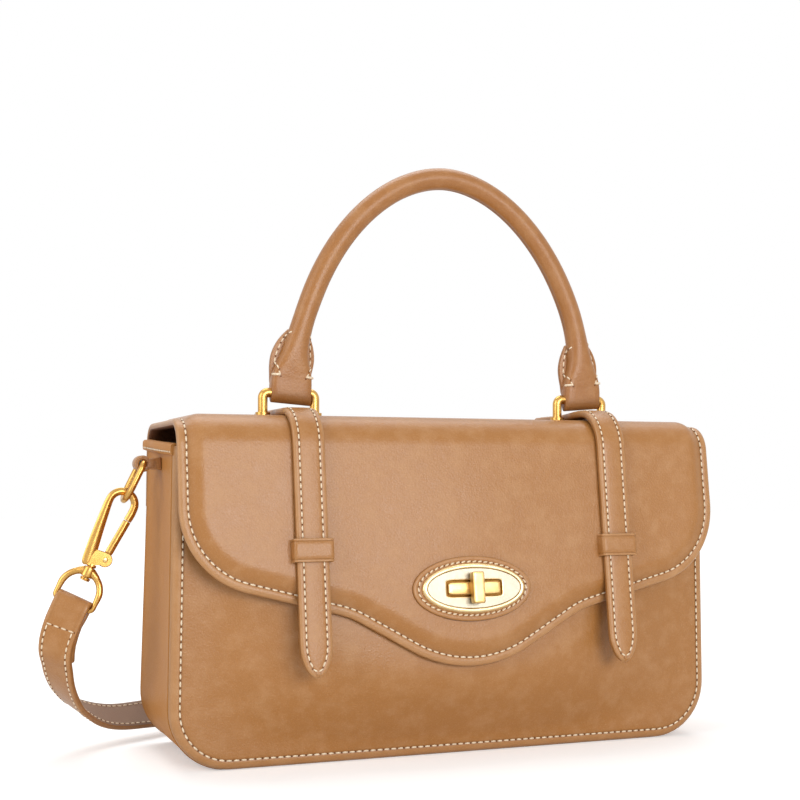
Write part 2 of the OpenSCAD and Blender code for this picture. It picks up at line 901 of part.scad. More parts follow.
module lock_plate_backing() {
    color(gold)
        on_face()
            at_lock()
                difference() {
                    raised(-flap_t - backing_t, -flap_t)
                        polygon(oval(backing_l, backing_h));
                    rotate([90, 0, 0])
                        cylinder(d = stem_d + 2 * run, h = 4 * flap_t, center = true);
                    at_posts()
                        cylinder(d = post_d + 2 * run, h = 4 * flap_t, center = true);
                }
}

module lock_seat() {
    color(gold)
        on_face()
            at_lock()
                difference() {
                    union() {
                        raised(-flap_t, patch_t)
                            square([seat_l, seat_h], center = true);
                        raised(0, plate_face + seat_rise)
                            square([slot_l - 2 * touch, slot_h - 2 * touch], center = true);
                    }
                    rotate([90, 0, 0])
                        cylinder(d = stem_d + 2 * run, h = 4 * flap_t + 4 * plate_face, center = true);
                }
}

knob_round = 0.5;
knob_bevel = 0.8;
module knob_plan(w, h) {
    offset(r = knob_round)
        square([w - 2 * knob_round, h - 2 * knob_round], center = true);
}
module turn_knob() {
    color(gold)
        on_face()
            at_lock() {
                hull() {
                    raised(knob_face, knob_face + knob_t - knob_bevel)
                        knob_plan(knob_w, knob_h);
                    raised(knob_face, knob_face + knob_t)
                        knob_plan(knob_w - 2 * knob_bevel, knob_h - 2 * knob_bevel);
                }
                translate([0, tail, 0])
                    rotate([90, 0, 0])
                        cylinder(d = stem_d, h = knob_face + tail + knob_t / 2);
            }
}

// Base of the lock on the front panel, under the flap
base_l = 36;
base_h = 16;
base_t = 1;
lock_depth = tail + touch + base_t;
module lock_base() {
    color(gold)
        on_face()
            at_lock()
                difference() {
                    raised(-tail - touch - base_t, -tail - touch)
                        polygon(oval(base_l, base_h));
                    rotate([90, 0, 0])
                        cylinder(d = stem_d + 2 * touch, h = 4 * tail, center = true);
                }
}

// Clips. The ring hangs from the side loop, and the hook is drawn from the ring's wire downwards.
ring_mid = ring_l - ring_wire_d;
ring_half = (ring_w - ring_wire_d) / 2;
ring_corner = 1.8;
function loop_x() = side_x(loop_z) + loop_out;
module at_loop(side) {
    translate([side * loop_x(), 0, loop_z])
        rotate([0, side < 0 ? left_lean : -right_lean, 0])
            children();
}

module ring_loop(side) {
    color(leather)
        difference() {
            translate([side * loop_x(), 0, loop_z]) {
                rotate([90, 0, 0])
                    cylinder(d = loop_d, h = loop_l, center = true);
                translate([side < 0 ? 0 : -loop_out - leather_t, -loop_l / 2, -leather_t])
                    cube([loop_out + leather_t, loop_l, 2 * leather_t]);
            }
            translate([side * loop_x(), 0, loop_z])
                rotate([90, 0, 0])
                    cylinder(d = ring_wire_d + 2 * run, h = loop_l + 2 * over, center = true);
            along(-body_d, body_d)
                polygon(body_outline(back_h, 0));
        }
}

module ring(side) {
    wire = ring_wire_d;
    color(gold)
        at_loop(side) {
            rotate([90, 0, 0])
                cylinder(d = wire, h = 2 * (ring_half - ring_corner), center = true);
            for (end = [-1, 1]) {
                translate([0, end * (ring_half - ring_corner), -ring_corner])
                    rotate([0, -90, 0])
                        rotate([0, 0, end > 0 ? 0 : -90])
                            rotate_extrude(angle = 90)
                                translate([ring_corner, 0])
                                    circle(d = wire);
                translate([0, end * ring_half, -ring_mid + ring_half])
                    cylinder(d = wire, h = ring_mid - ring_half - ring_corner);
            }
            translate([0, 0, -ring_mid + ring_half])
                rotate([0, -90, 0])
                    rotate([0, 0, 90])
                        rotate_extrude(angle = 180)
                            translate([ring_half, 0])
                                circle(d = wire);
        }
}

// Frame of the hook: origin at the middle of the wire it hangs on, -Z down its length,
// Y through its thickness
module at_hook(side) {
    at_loop(side)
        if (side < 0)
            translate([0, 0, -ring_mid])
                children();
        else
            translate([0, ring_half, -ring_mid + ring_half])
                rotate([0, 0, right_slant])
                    rotate([90, 0, 0])
                        children();
}

bow_wire = 2.8;
bow_r = (hook_w - bow_wire) / 2;
bow_lift = ring_wire_d / 2 + touch + bow_wire / 2;
bow_z = bow_lift - bow_r;
base_z = bow_lift + bow_wire / 2 - hook_l;
gate_pin_d = 1.6;
gate_d = 2.6;
lug_r = 2.9;
pivot_in = 1.4;
pivot_up = 5.2;
pivot = [bow_r - pivot_in, base_z + pivot_up];
nose_drop = 5.5;
nose = [bow_r, bow_z - nose_drop];
gate_vector = nose - pivot;
gate_angle = atan2(gate_vector[0], gate_vector[1]);
gate_len = norm(gate_vector);
collar_len = 4.5;
collar_d = 5.2;
post_r = 1.5;
rivet_d = 4.4;
rivet_h = 1.2;
swivel_z = base_z - touch - collar_len;

arm_w = 3.4;
arm_flare = 0.6;
arm_draw = 0.4;
arm_round = 0.6;
// Rounds the corners of a drawing that stand out
module softened() {
    offset(r = arm_round)
        offset(delta = -arm_round)
            children();
}
module hook(side) {
    arm_in = -bow_r - bow_wire / 2 + arm_w;
    color(gold)
        at_hook(side) {
            translate([0, 0, bow_z])
                rotate([90, 0, 0])
                    rotate_extrude(angle = 180)
                        translate([bow_r, 0])
                            circle(d = bow_wire);
            translate([nose[0], 0, nose[1] + touch])
                cylinder(d = bow_wire, h = bow_z - nose[1] - touch);
            difference() {
                union() {
                    along(-hook_t / 2, hook_t / 2)
                        softened() polygon([
                            [-bow_r - bow_wire / 2, bow_z],
                            [arm_in, bow_z],
                            [arm_in + bow_wire / 2 + arm_flare, base_z + pivot_up],
                            [arm_in + bow_wire / 2 + arm_flare, base_z],
                            [-post_r, base_z],
                            [-bow_r + arm_draw, base_z + lug_r]
                        ]);
                    along(-hook_t / 2, hook_t / 2)
                        softened() polygon([
                            [-post_r - arm_flare, base_z],
                            [pivot[0], pivot[1] - lug_r],
                            [pivot[0], pivot[1] + arm_flare],
                            [-post_r - arm_flare, pivot[1] + lug_r]
                        ]);
                    at_pivot()
                        cylinder(r = lug_r, h = hook_t, center = true);
                }
                at_pivot() {
                    cylinder(d = gate_pin_d + 2 * run, h = hook_t + 2 * over, center = true);
                    cylinder(r = lug_r + touch, h = gate_eye_t + 2 * touch, center = true);
                }
                translate([pivot[0], 0, pivot[1]])
                    along(-gate_eye_t / 2 - touch, gate_eye_t / 2 + touch)
                        polygon([
                            [-lug_r, 0], [lug_r + over, -lug_r],
                            [lug_r + over, 2 * lug_r], [-lug_r, 2 * lug_r]
                        ]);
            }
            translate([0, 0, swivel_z - touch])
                cylinder(r = post_r, h = collar_len + 2 * touch + over);
            translate([0, 0, swivel_z - touch - rivet_h])
                cylinder(d = rivet_d, h = rivet_h);
        }
}

// Turns what follows so that its Z axis is the gate's pin
module at_pivot() {
    translate([pivot[0], 0, pivot[1]])
        rotate([90, 0, 0])
            children();
}

gate_eye_t = 1.2;
gate_eye_r = 2.3;
module gate(side) {
    color(gold)
        at_hook(side)
            difference() {
                union() {
                    at_pivot()
                        cylinder(r = gate_eye_r, h = gate_eye_t, center = true);
                    translate([pivot[0], 0, pivot[1]])
                        rotate([0, gate_angle, 0]) {
                            translate([0, 0, lug_r + 2 * touch])
                                cylinder(d = gate_d, h = gate_len - lug_r - 2 * touch);
                            along(-gate_eye_t / 2, gate_eye_t / 2)
                                translate([-gate_d / 2, 0])
                                    square([gate_d, lug_r + over]);
                        }
                }
                at_pivot()
                    cylinder(d = gate_pin_d + 2 * run, h = hook_t, center = true);
            }
}

module gate_pin(side) {
    color(gold)
        at_hook(side)
            at_pivot()
                cylinder(d = gate_pin_d, h = hook_t, center = true);
}

// Swivel loop: a collar round the hook's post, with a D of wire below it
swivel_r = (swivel_w - swivel_wire_d) / 2;
swivel_drop = 17;
swivel_corner = 1.3;
collar_mid = swivel_z + collar_len / 2;
module swivel(side) {
    wire = swivel_wire_d;
    lower = collar_mid - swivel_drop;
    color(gold)
        at_hook(side)
            difference() {
                union() {
                    translate([0, 0, swivel_z])
                        cylinder(d = collar_d, h = collar_len);
                    translate([0, 0, collar_mid - swivel_r])
                        rotate([90, 0, 0])
                            rotate_extrude(angle = 180)
                                translate([swivel_r, 0])
                                    circle(d = wire);
                    for (end = [-1, 1]) {
                        translate([end * swivel_r, 0, lower + swivel_corner])
                            cylinder(d = wire, h = swivel_drop - swivel_r - swivel_corner);
                        translate([end * (swivel_r - swivel_corner), 0, lower + swivel_corner])
                            rotate([90, 0, 0])
                                rotate([0, 0, end > 0 ? -90 : 180])
                                    rotate_extrude(angle = 90)
                                        translate([swivel_corner, 0])
                                            circle(d = wire);
                    }
                    translate([-swivel_r + swivel_corner, 0, lower])
                        rotate([0, 90, 0])
                            cylinder(d = wire, h = 2 * (swivel_r - swivel_corner));
                }
                translate([0, 0, swivel_z - over])
                    cylinder(r = post_r + run, h = collar_len + 2 * over);
            }
}

// Shoulder strap. It hangs from the left clip, lies on the floor, is folded on edge behind the bag and
// rises to the right clip. Turning a direction about an axis, as the clips' frames do:
function about_y(v, a) = [v[0] * cos(a) + v[2] * sin(a), v[1], v[2] * cos(a) - v[0] * sin(a)];
function about_z(v, a) = [v[0] * cos(a) - v[1] * sin(a), v[0] * sin(a) + v[1] * cos(a), v[2]];
function about_x(v, a) = [v[0], v[1] * cos(a) - v[2] * sin(a), v[1] * sin(a) + v[2] * cos(a)];
bar_drop = collar_mid - swivel_drop;
// Place and direction in the bag's frame of a point and a direction in a hook's frame
function hook_dir(side, v) = side < 0 ? about_y(v, left_lean)
    : about_y(about_z(about_x(v, 90), right_slant), -right_lean);
function hook_origin(side) = [side * loop_x(), 0, loop_z] + (side < 0
    ? about_y([0, 0, -ring_mid], left_lean)
    : about_y([0, ring_half, ring_half - ring_mid], -right_lean));
function bar_place(side, below) = hook_origin(side) + hook_dir(side, [0, 0, bar_drop - below]);

// Fold of the strap round a bar, the length that is doubled below it, and where the free strap starts
fold_r = swivel_wire_d / 2 + run + shoulder_t;
fold_l = 26;
fold_seam = 1;
free_l = 32;
// Way back of the nearest run of the folded strap, the step between runs, and shares of the bag's width
run_back = 49;
run_y = half_d + run_back;
run_step = 12;
run_share = 0.385;
lead_share = 0.29;

// Height of the strap's middle when it lies on the floor with its rear edge raised by an angle
function lying(rise) = shoulder_w / 2 * sin(rise) + shoulder_t / 2 * cos(rise);
function strap_dir(azimuth, elevation) =
    [cos(elevation) * cos(azimuth), cos(elevation) * sin(azimuth), sin(elevation)];

// Each ring of the strap is a place, the direction across the strap and its thickness
bar_dirs = [hook_dir(-1, [1, 0, 0]), hook_dir(1, [-1, 0, 0])];
function fold_ring(side, below, layers) =
    [bar_place(side, below), bar_dirs[side < 0 ? 0 : 1], layers * shoulder_t];
function fold_end(side) = [
    fold_ring(side, fold_r - shoulder_t / 2, 2),
    fold_ring(side, 2 * fold_r, 2),
    fold_ring(side, fold_l - fold_seam, 2),
    fold_ring(side, fold_l, 1)
];

// Left lead, in shares of the way from the left clip to the folded strap
left_lead_shares = [
    [0.000, 0.000, 1.000, 0, -26], [-0.021, 0.010, 0.830, -3, -25], [-0.026, 0.040, 0.650, -7, -24],
    [-0.012, 0.105, 0.470, -13, -23], [0.025, 0.200, 0.320, -20, -22], [0.080, 0.320, 0.210, -28, -22],
    [0.150, 0.440, 0.130, -35, -22], [0.235, 0.560, 0.000, -42, -23], [0.330, 0.675, 0.000, -50, -24],
    [0.435, 0.775, 0.000, -57, -25], [0.545, 0.860, 0.000, -64, -28], [0.660, 0.930, 0.000, -72, -35],
    [0.775, 0.970, 0.000, -80, -48], [0.890, 0.990, 0.000, -86, -68], [1.000, 1.000, 0.000, -90, -90]
];
lead_from = bar_place(-1, free_l);
lead_to = [-body_w * lead_share, run_y, 0];
left_lead = [
    for (p = left_lead_shares)
        let (x = lead_from[0] + p[0] * (lead_to[0] - lead_from[0]))
        [[x, p[1] * lead_to[1], max(p[2] * lead_from[2], lying(-p[4]))], strap_dir(p[3], p[4]), shoulder_t]
];

// Folded runs, on edge
turn_steps = 8;
function fold_turn(x, y, side) = [
    for (i = [0:turn_steps])
        let (a = 180 * i / turn_steps)
        let (place = [x + side * run_step / 2 * sin(a), y + run_step / 2 * (1 - cos(a)), lying(90)])
        [place, [0, 0, -1], shoulder_t]
];
run_half = body_w * run_share;
folded = concat(fold_turn(run_half, run_y, 1), fold_turn(-run_half, run_y + run_step, -1));

// Right lead, in shares of the way from the folded strap to the right clip
right_lead_shares = [
    [0.00, 0.000, 0.000, -90, -90], [0.32, 0.010, 0.015, -90, -88], [0.60, 0.060, 0.070, -92, -82],
    [0.80, 0.150, 0.170, -94, -76], [0.92, 0.270, 0.310, -97, -69], [0.98, 0.410, 0.470, -99, -62],
    [1.00, 0.560, 0.620, -102, -56], [1.01, 0.700, 0.750, -104, -52], [1.01, 0.840, 0.870, -106, -49]
];
rise_from = [body_w * lead_share, run_y + 2 * run_step, lying(90)];
rise_to = bar_place(1, free_l);
right_lead = [
    for (p = right_lead_shares)
        let (place = [for (k = [0:2]) rise_from[k] + p[k] * (rise_to[k] - rise_from[k])])
        [place, strap_dir(p[3], p[4]), shoulder_t]
];

strap_route = concat(fold_end(-1), left_lead, folded, right_lead, backwards(fold_end(1)));
module shoulder_strap() {
    last = len(strap_route) - 1;
    rings = [
        for (i = [0:last])
            let (tangent = unit(strap_route[min(i + 1, last)][0] - strap_route[max(i - 1, 0)][0]))
            let (raw = strap_route[i][1])
            let (wide = unit(raw - (raw * tangent) * tangent))
            [strap_route[i][0], wide * shoulder_w / 2, cross(tangent, wide) * strap_route[i][2] / 2]
    ];
    color(leather)
        difference() {
            union() {
                sweep(rings, [[-1, -1], [1, -1], [1, 1], [-1, 1]]);
                at_bars()
                    cylinder(r = fold_r, h = shoulder_w, center = true);
            }
            at_bars()
                cylinder(r = fold_r - shoulder_t, h = shoulder_w + 2 * over, center = true);
        }
}

module at_bars() {
    for (side = [-1, 1])
        at_hook(side)
            translate([0, 0, bar_drop])
                rotate([0, 90, 0])
                    children();
}

front_panel();
back_panel();
gusset();
lining();
base_board();
flap_back_section();
flap_rear_bend();
flap_top_section();
flap_front_bend();
flap_front_section();
strap_top(-1);  // strap_top_left
strap_top(1);  // strap_top_right
strap_bend(-1);  // strap_bend_left
strap_bend(1);  // strap_bend_right
strap_front(-1);  // strap_front_left
strap_front(1);  // strap_front_right
keeper(-1);  // keeper_left
keeper(1);  // keeper_right
bridge(-1);  // bridge_left
bridge(1);  // bridge_right
bridge_screws();
handle_cover();
handle_core();
handle_end(-1);  // handle_end_left
handle_end(1);  // handle_end_right
shoulder_strap();
lock_patch();
lock_plate();
lock_plate_backing();
lock_seat();
turn_knob();
lock_base();
ring_loop(-1);  // ring_loop_left
ring_loop(1);  // ring_loop_right
ring(-1);  // ring_left
ring(1);  // ring_right
hook(-1);  // hook_left
hook(1);  // hook_right
gate(-1);  // gate_left
gate(1);  // gate_right
gate_pin(-1);  // gate_pin_left
gate_pin(1);  // gate_pin_right
swivel(-1);  // swivel_left
swivel(1);  // swivel_right
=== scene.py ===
import json
import math

import bmesh
import bpy
import numpy as np
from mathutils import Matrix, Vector

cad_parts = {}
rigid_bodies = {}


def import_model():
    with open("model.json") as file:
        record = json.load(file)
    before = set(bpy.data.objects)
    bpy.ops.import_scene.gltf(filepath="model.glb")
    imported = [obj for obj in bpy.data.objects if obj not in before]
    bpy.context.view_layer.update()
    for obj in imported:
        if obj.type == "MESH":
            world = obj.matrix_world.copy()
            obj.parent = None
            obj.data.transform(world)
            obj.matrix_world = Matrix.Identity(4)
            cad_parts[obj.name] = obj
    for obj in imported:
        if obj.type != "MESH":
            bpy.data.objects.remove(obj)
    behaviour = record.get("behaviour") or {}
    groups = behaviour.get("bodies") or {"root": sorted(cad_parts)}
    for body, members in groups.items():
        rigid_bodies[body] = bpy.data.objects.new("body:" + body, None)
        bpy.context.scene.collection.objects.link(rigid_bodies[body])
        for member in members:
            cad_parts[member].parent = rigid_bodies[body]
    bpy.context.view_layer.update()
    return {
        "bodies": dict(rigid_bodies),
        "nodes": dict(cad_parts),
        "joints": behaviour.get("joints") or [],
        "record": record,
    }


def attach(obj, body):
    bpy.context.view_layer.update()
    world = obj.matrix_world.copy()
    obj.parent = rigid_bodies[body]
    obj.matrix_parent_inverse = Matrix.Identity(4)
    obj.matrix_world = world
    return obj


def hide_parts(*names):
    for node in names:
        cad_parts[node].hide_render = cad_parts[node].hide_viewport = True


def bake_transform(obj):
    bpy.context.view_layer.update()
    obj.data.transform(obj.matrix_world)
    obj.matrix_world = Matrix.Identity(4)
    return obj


print("satchel: loading the frame")
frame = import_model()
cadNodes = frame["nodes"]
mm = 0.001

scene = bpy.context.scene
scene.view_settings.view_transform = "Standard"

cameraSet = {
    "place": (-239.3, -611.9, 122.4), "level": 90, "turn": -21.36, "sensor": 36, "lens": 62.19,
    "shift": (-0.0333, 0.1013),
}
cameraData = bpy.data.cameras.new("productCamera")
cameraData.sensor_width = cameraSet["sensor"]
cameraData.lens = cameraSet["lens"]
cameraData.shift_x, cameraData.shift_y = cameraSet["shift"]
camera = bpy.data.objects.new("productCamera", cameraData)
camera.location = [c * mm for c in cameraSet["place"]]
camera.rotation_euler = (math.radians(cameraSet["level"]), 0, math.radians(cameraSet["turn"]))
scene.collection.objects.link(camera)
scene.camera = camera


# helpers work in millimetres until the last step

def smooth(t):
    t = np.clip(t, 0.0, 1.0)
    return t * t * (3 - 2 * t)


def unit(v):
    v = np.asarray(v, float)
    return v / np.linalg.norm(v)


def roundedPath(corners, steps=14):
    # corners are (x, y, radius); the two ends stay sharp
    points = []
    for i, (x, y, r) in enumerate(corners):
        here = np.array([x, y], float)
        if r == 0:
            points.append(here)
            continue
        before, after = np.array(corners[i - 1][:2], float), np.array(corners[i + 1][:2], float)
        u, v = unit(before - here), unit(after - here)
        half = math.acos(float(u @ v)) / 2
        middle = here + unit(u + v) * r / math.sin(half)
        a, b = here + u * r / math.tan(half), here + v * r / math.tan(half)
        start = math.atan2(*(a - middle)[::-1])
        turn = math.atan2(*(b - middle)[::-1]) - start
        turn = (turn + math.pi) % (2 * math.pi) - math.pi
        for k in range(steps + 1):
            w = start + turn * k / steps
            points.append(middle + r * np.array([math.cos(w), math.sin(w)]))
    return np.array(points)


def runOf(points):
    # length of the way up to each point
    return np.concatenate([[0], np.cumsum(np.linalg.norm(np.diff(points, axis=0), axis=1))])


def evenPath(points, step):
    points = np.asarray(points, float)
    lengths = np.linalg.norm(np.diff(points, axis=0), axis=1)
    points = points[np.concatenate([[True], lengths > 1e-6])]
    run = runOf(points)
    count = max(2, int(round(run[-1] / step)) + 1)
    at = np.linspace(0, run[-1], count)
    return np.stack([np.interp(at, run, points[:, k]) for k in range(points.shape[1])], axis=1)


def leftOf(points):
    # directions to the left of each point of an open path
    tangent = np.gradient(points, axis=0)
    tangent /= np.linalg.norm(tangent, axis=1)[:, None]
    return np.stack([-tangent[:, 1], tangent[:, 0]], axis=1)


def insetPath(points, distance):
    return points + distance * leftOf(points)


def splinePath(points, per):
    # Catmull-Rom curve through rows of numbers
    p = np.asarray(points, float)
    p = np.concatenate([[2 * p[0] - p[1]], p, [2 * p[-1] - p[-2]]])
    out = []
    for i in range(1, len(p) - 2):
        a, b, c, d = p[i - 1], p[i], p[i + 1], p[i + 2]
        for t in (k / per for k in range(per)):
            curve = 2 * b + (c - a) * t + (2 * a - 5 * b + 4 * c - d) * t * t + (3 * b - a - 3 * c + d) * t ** 3
            out.append(0.5 * curve)
    out.append(p[-2])
    return np.array(out)


def circle(count):
    return [(math.cos(q), math.sin(q)) for q in np.linspace(0, 2 * math.pi, count, endpoint=False)]


def squared(power, count):
    # a ring within one unit, from round (power 2) to nearly square
    return [[math.copysign(abs(share) ** (2 / power), share) for share in point] for point in circle(count)]


def mirrored(section):
    # rows that start with x, and their mirror image, as one ring
    return section + [(-row[0], *row[1:]) for row in section[::-1]]


def sided(name, side):
    return name + ("Left" if side < 0 else "Right")


def makeObject(name, mesh):
    piece = bpy.data.objects.new(name, mesh)
    scene.collection.objects.link(piece)
    return piece


weldReach, leastEdge = 2e-6, 1e-7


def meshPiece(name, verts, faces, material, tones=None, sharp=40, outward=True, kinds=None):
    # tones are one per point, kinds the number of each face's material
    bm = bmesh.new()
    tone = bm.verts.layers.float.new("tone")
    made = []
    for i, p in enumerate(verts):
        v = bm.verts.new((p[0] * mm, p[1] * mm, p[2] * mm))
        v[tone] = 0.0 if tones is None else float(tones[i])
        made.append(v)
    for i, face in enumerate(faces):
        try:
            f = bm.faces.new([made[k] for k in face])
        except ValueError:
            continue
        f.smooth = True
        f.material_index = 0 if kinds is None else int(kinds[i])
    bmesh.ops.remove_doubles(bm, verts=bm.verts, dist=weldReach)
    bmesh.ops.dissolve_degenerate(bm, edges=bm.edges, dist=leastEdge)
    if outward:
        bmesh.ops.recalc_face_normals(bm, faces=bm.faces)
    mesh = bpy.data.meshes.new(name)
    bm.to_mesh(mesh)
    bm.free()
    mesh.set_sharp_from_angle(angle=math.radians(sharp))
    for m in material if isinstance(material, (list, tuple)) else [material]:
        mesh.materials.append(m)
    return makeObject(name, mesh)


def gridFaces(rows, columns, wrap=False, flip=False):
    faces = []
    for r in range(rows - 1):
        for c in range(columns if wrap else columns - 1):
            a, b = r * columns + c, r * columns + (c + 1) % columns
            quad = [a, b, b + columns, a + columns]
            faces.append(quad[::-1] if flip else quad)
    return faces


def loft(name, stations, material, tones=None, caps=True, sharp=40, kinds=None, capKinds=(0, 0)):
    # stations are closed rings with the same count of points; tones are one per ring or per point,
    # kinds one per band of faces or one for each face of a band
    rows = np.asarray(stations, float)
    count, columns = rows.shape[:2]
    faces = gridFaces(count, columns, wrap=True)
    if tones is not None:
        tones = np.broadcast_to(np.asarray(tones, float).reshape(count, -1), (count, columns)).reshape(-1)
    if kinds is not None:
        kinds = [*np.broadcast_to(kinds, (count - 1, columns)).reshape(-1), *capKinds]
    if caps:
        faces.append(list(range(columns))[::-1])
        faces.append([(count - 1) * columns + k for k in range(columns)])
    return meshPiece(name, rows.reshape(-1, 3), faces, material, tones, sharp, kinds=kinds)


def settle(piece):
    # turns a piece with modifiers into plain mesh
    graph = bpy.context.evaluated_depsgraph_get()
    mesh = bpy.data.meshes.new_from_object(piece.evaluated_get(graph))
    name = piece.name
    bpy.data.objects.remove(piece)
    return makeObject(name, mesh)


def joined(name, parts):
    # one piece from several, keeping their materials
    bm = bmesh.new()
    materials = []
    for part in parts:
        lookup = []
        for m in part.data.materials:
            if m not in materials:
                materials.append(m)
            lookup.append(materials.index(m))
        before = len(bm.faces)
        bm.from_mesh(part.data)
        bm.faces.ensure_lookup_table()
        for f in bm.faces[before:]:
            f.material_index = lookup[min(f.material_index, len(lookup) - 1)]
    mesh = bpy.data.meshes.new(name)
    bm.to_mesh(mesh)
    bm.free()
    for m in materials:
        mesh.materials.append(m)
    for part in parts:
        bpy.data.objects.remove(part)
    return makeObject(name, mesh)


def colour(rgb):
    # a linear colour from display numbers up to 255
    shares = (c / 255 for c in rgb)
    return (*(c / 12.92 if c <= 0.04045 else ((c + 0.055) / 1.055) ** 2.4 for c in shares), 1)


def feed(tree, node, inputs):
    # sets a node's inputs, or links them where the value is an output of another node
    for key, value in inputs.items():
        if isinstance(value, bpy.types.NodeSocket):
            tree.links.new(value, node.inputs[key])
        else:
            node.inputs[key].default_value = value
    return node


def addNode(tree, kind, inputs, **settings):
    node = tree.nodes.new(kind)
    for key, value in settings.items():
        setattr(node, key, value)
    return feed(tree, node, inputs)


def emptyTree(owner):
    owner.use_nodes = True
    owner.node_tree.nodes.clear()
    return owner.node_tree


def newMaterial(name):
    # a material's tree with its shader, and the place on the piece
    material = bpy.data.materials.new(name)
    tree = emptyTree(material)
    shader = addNode(tree, "ShaderNodeBsdfPrincipled", {})
    addNode(tree, "ShaderNodeOutputMaterial", {0: shader.outputs[0]})
    return material, tree, shader, addNode(tree, "ShaderNodeTexCoord", {}).outputs["Object"]


def noise(tree, place, scale, detail, roughness=0.5):
    values = {"Vector": place, "Scale": scale, "Detail": detail, "Roughness": roughness}
    return addNode(tree, "ShaderNodeTexNoise", values).outputs["Fac"]


def cells(tree, place, scale, randomness):
    values = {"Vector": place, "Scale": scale, "Randomness": randomness}
    return addNode(tree, "ShaderNodeTexVoronoi", values).outputs["Distance"]


def maths(tree, operation, a, b, clamp=False):
    return addNode(tree, "ShaderNodeMath", {0: a, 1: b}, operation=operation, use_clamp=clamp).outputs[0]


def spread(tree, value, low, high, newLow=0.0, newHigh=1.0):
    values = {"Value": value, "From Min": low, "From Max": high, "To Min": newLow, "To Max": newHigh}
    return addNode(tree, "ShaderNodeMapRange", values).outputs["Result"]


def mixColour(tree, factor, a, b):
    return addNode(tree, "ShaderNodeMix", {0: factor, 6: a, 7: b}, data_type="RGBA").outputs[2]


def toned(tree, base, dark, share, light=None):
    # the tone of a piece's points darkens below 0 and lightens above it; the pieces set it as painted shade in grooves,
    # creases, holes and under edges, and as painted highlights on rounded edges
    tone = addNode(tree, "ShaderNodeAttribute", {}, attribute_name="tone").outputs["Fac"]
    if light:
        base = mixColour(tree, maths(tree, "MULTIPLY", tone, 1.0, True), base, light)
    return mixColour(tree, maths(tree, "MULTIPLY", tone, -1.0, True), base, tuple(share * c for c in dark[:3]) + (1,))


def bump(tree, height, distance, strength=1.0):
    values = {"Height": height, "Distance": distance, "Strength": strength}
    return addNode(tree, "ShaderNodeBump", values).outputs[0]


def leatherMaterial(name, main, dark, light, rough=0.36, grain=0.00014, specular=0.36, coat=0.16):
    material, tree, shader, place = newMaterial(name)
    main, dark, light = colour(main), colour(dark), colour(light)
    cloud = noise(tree, place, 16.0, 3.0, 0.55)
    streak = noise(tree, place, 130.0, 4.0, 0.6)
    fine = noise(tree, place, 1900.0, 3.0, 0.7)
    pores = cells(tree, place, 1050.0, 0.9)
    base = mixColour(tree, spread(tree, cloud, 0.2, 0.8), dark, main)
    base = mixColour(tree, spread(tree, streak, 0.45, 0.75, 0.0, 0.18), base, light)
    base = mixColour(tree, spread(tree, fine, 0.52, 0.78, 0.0, 0.26), base, light)
    base = mixColour(tree, spread(tree, pores, 0.0, 0.35, 0.16, 0.0), base, dark)
    height = maths(tree, "ADD", maths(tree, "MULTIPLY", pores, 0.9), maths(tree, "MULTIPLY", fine, 0.8))
    height = maths(tree, "ADD", height, maths(tree, "MULTIPLY", streak, 1.4))
    # the tone mixes painted highlights toward the light colour and painted shade toward the dark one
    feed(tree, shader, {
        "Base Color": toned(tree, base, dark, 0.45, light), "Normal": bump(tree, height, grain, 0.55),
        "Roughness": spread(tree, streak, 0.3, 0.7, rough - 0.05, rough + 0.07),
        "Specular IOR Level": specular, "Coat Weight": coat, "Coat Roughness": 0.3,
    })
    return material


def metalMaterial(name, main, dark, rough, brushed=0.00002, scale=(900.0, 900.0, 60.0)):
    material, tree, shader, place = newMaterial(name)
    main, dark = colour(main), colour(dark)
    stretched = addNode(tree, "ShaderNodeMapping", {"Vector": place, "Scale": scale}).outputs[0]
    lines = noise(tree, stretched, 4.0, 3.0, 0.6)
    cloud = noise(tree, place, 160.0, 4.0, 0.6)
    base = mixColour(tree, spread(tree, cloud, 0.35, 0.65), dark, main)
    # the tone mixes painted shade toward the dark colour
    feed(tree, shader, {
        "Base Color": toned(tree, base, dark, 0.2), "Normal": bump(tree, lines, brushed, 0.5), "Metallic": 1.0,
        "Roughness": spread(tree, lines, 0.3, 0.7, rough - 0.05, rough + 0.08),
    })
    return material


def threadMaterial(name, main, dark):
    material, tree, shader, place = newMaterial(name)
    twist = spread(tree, noise(tree, place, 2600.0, 2.0), 0.35, 0.65)
    base = mixColour(tree, twist, colour(dark), colour(main))
    feed(tree, shader, {"Base Color": base, "Roughness": 0.7, "Sheen Weight": 0.2})
    return material


def clothMaterial(name, main, dark):
    material, tree, shader, place = newMaterial(name)
    main, dark = colour(main), colour(dark)
    weave = cells(tree, place, 1400.0, 0.25)
    base = mixColour(tree, spread(tree, noise(tree, place, 420.0, 4.0), 0.35, 0.65), dark, main)
    base = mixColour(tree, spread(tree, weave, 0.0, 0.5, 0.5, 0.0), base, dark)
    normal = bump(tree, weave, 0.0001)
    feed(tree, shader, {"Base Color": base, "Normal": normal, "Roughness": 0.85, "Sheen Weight": 0.3})
    return material


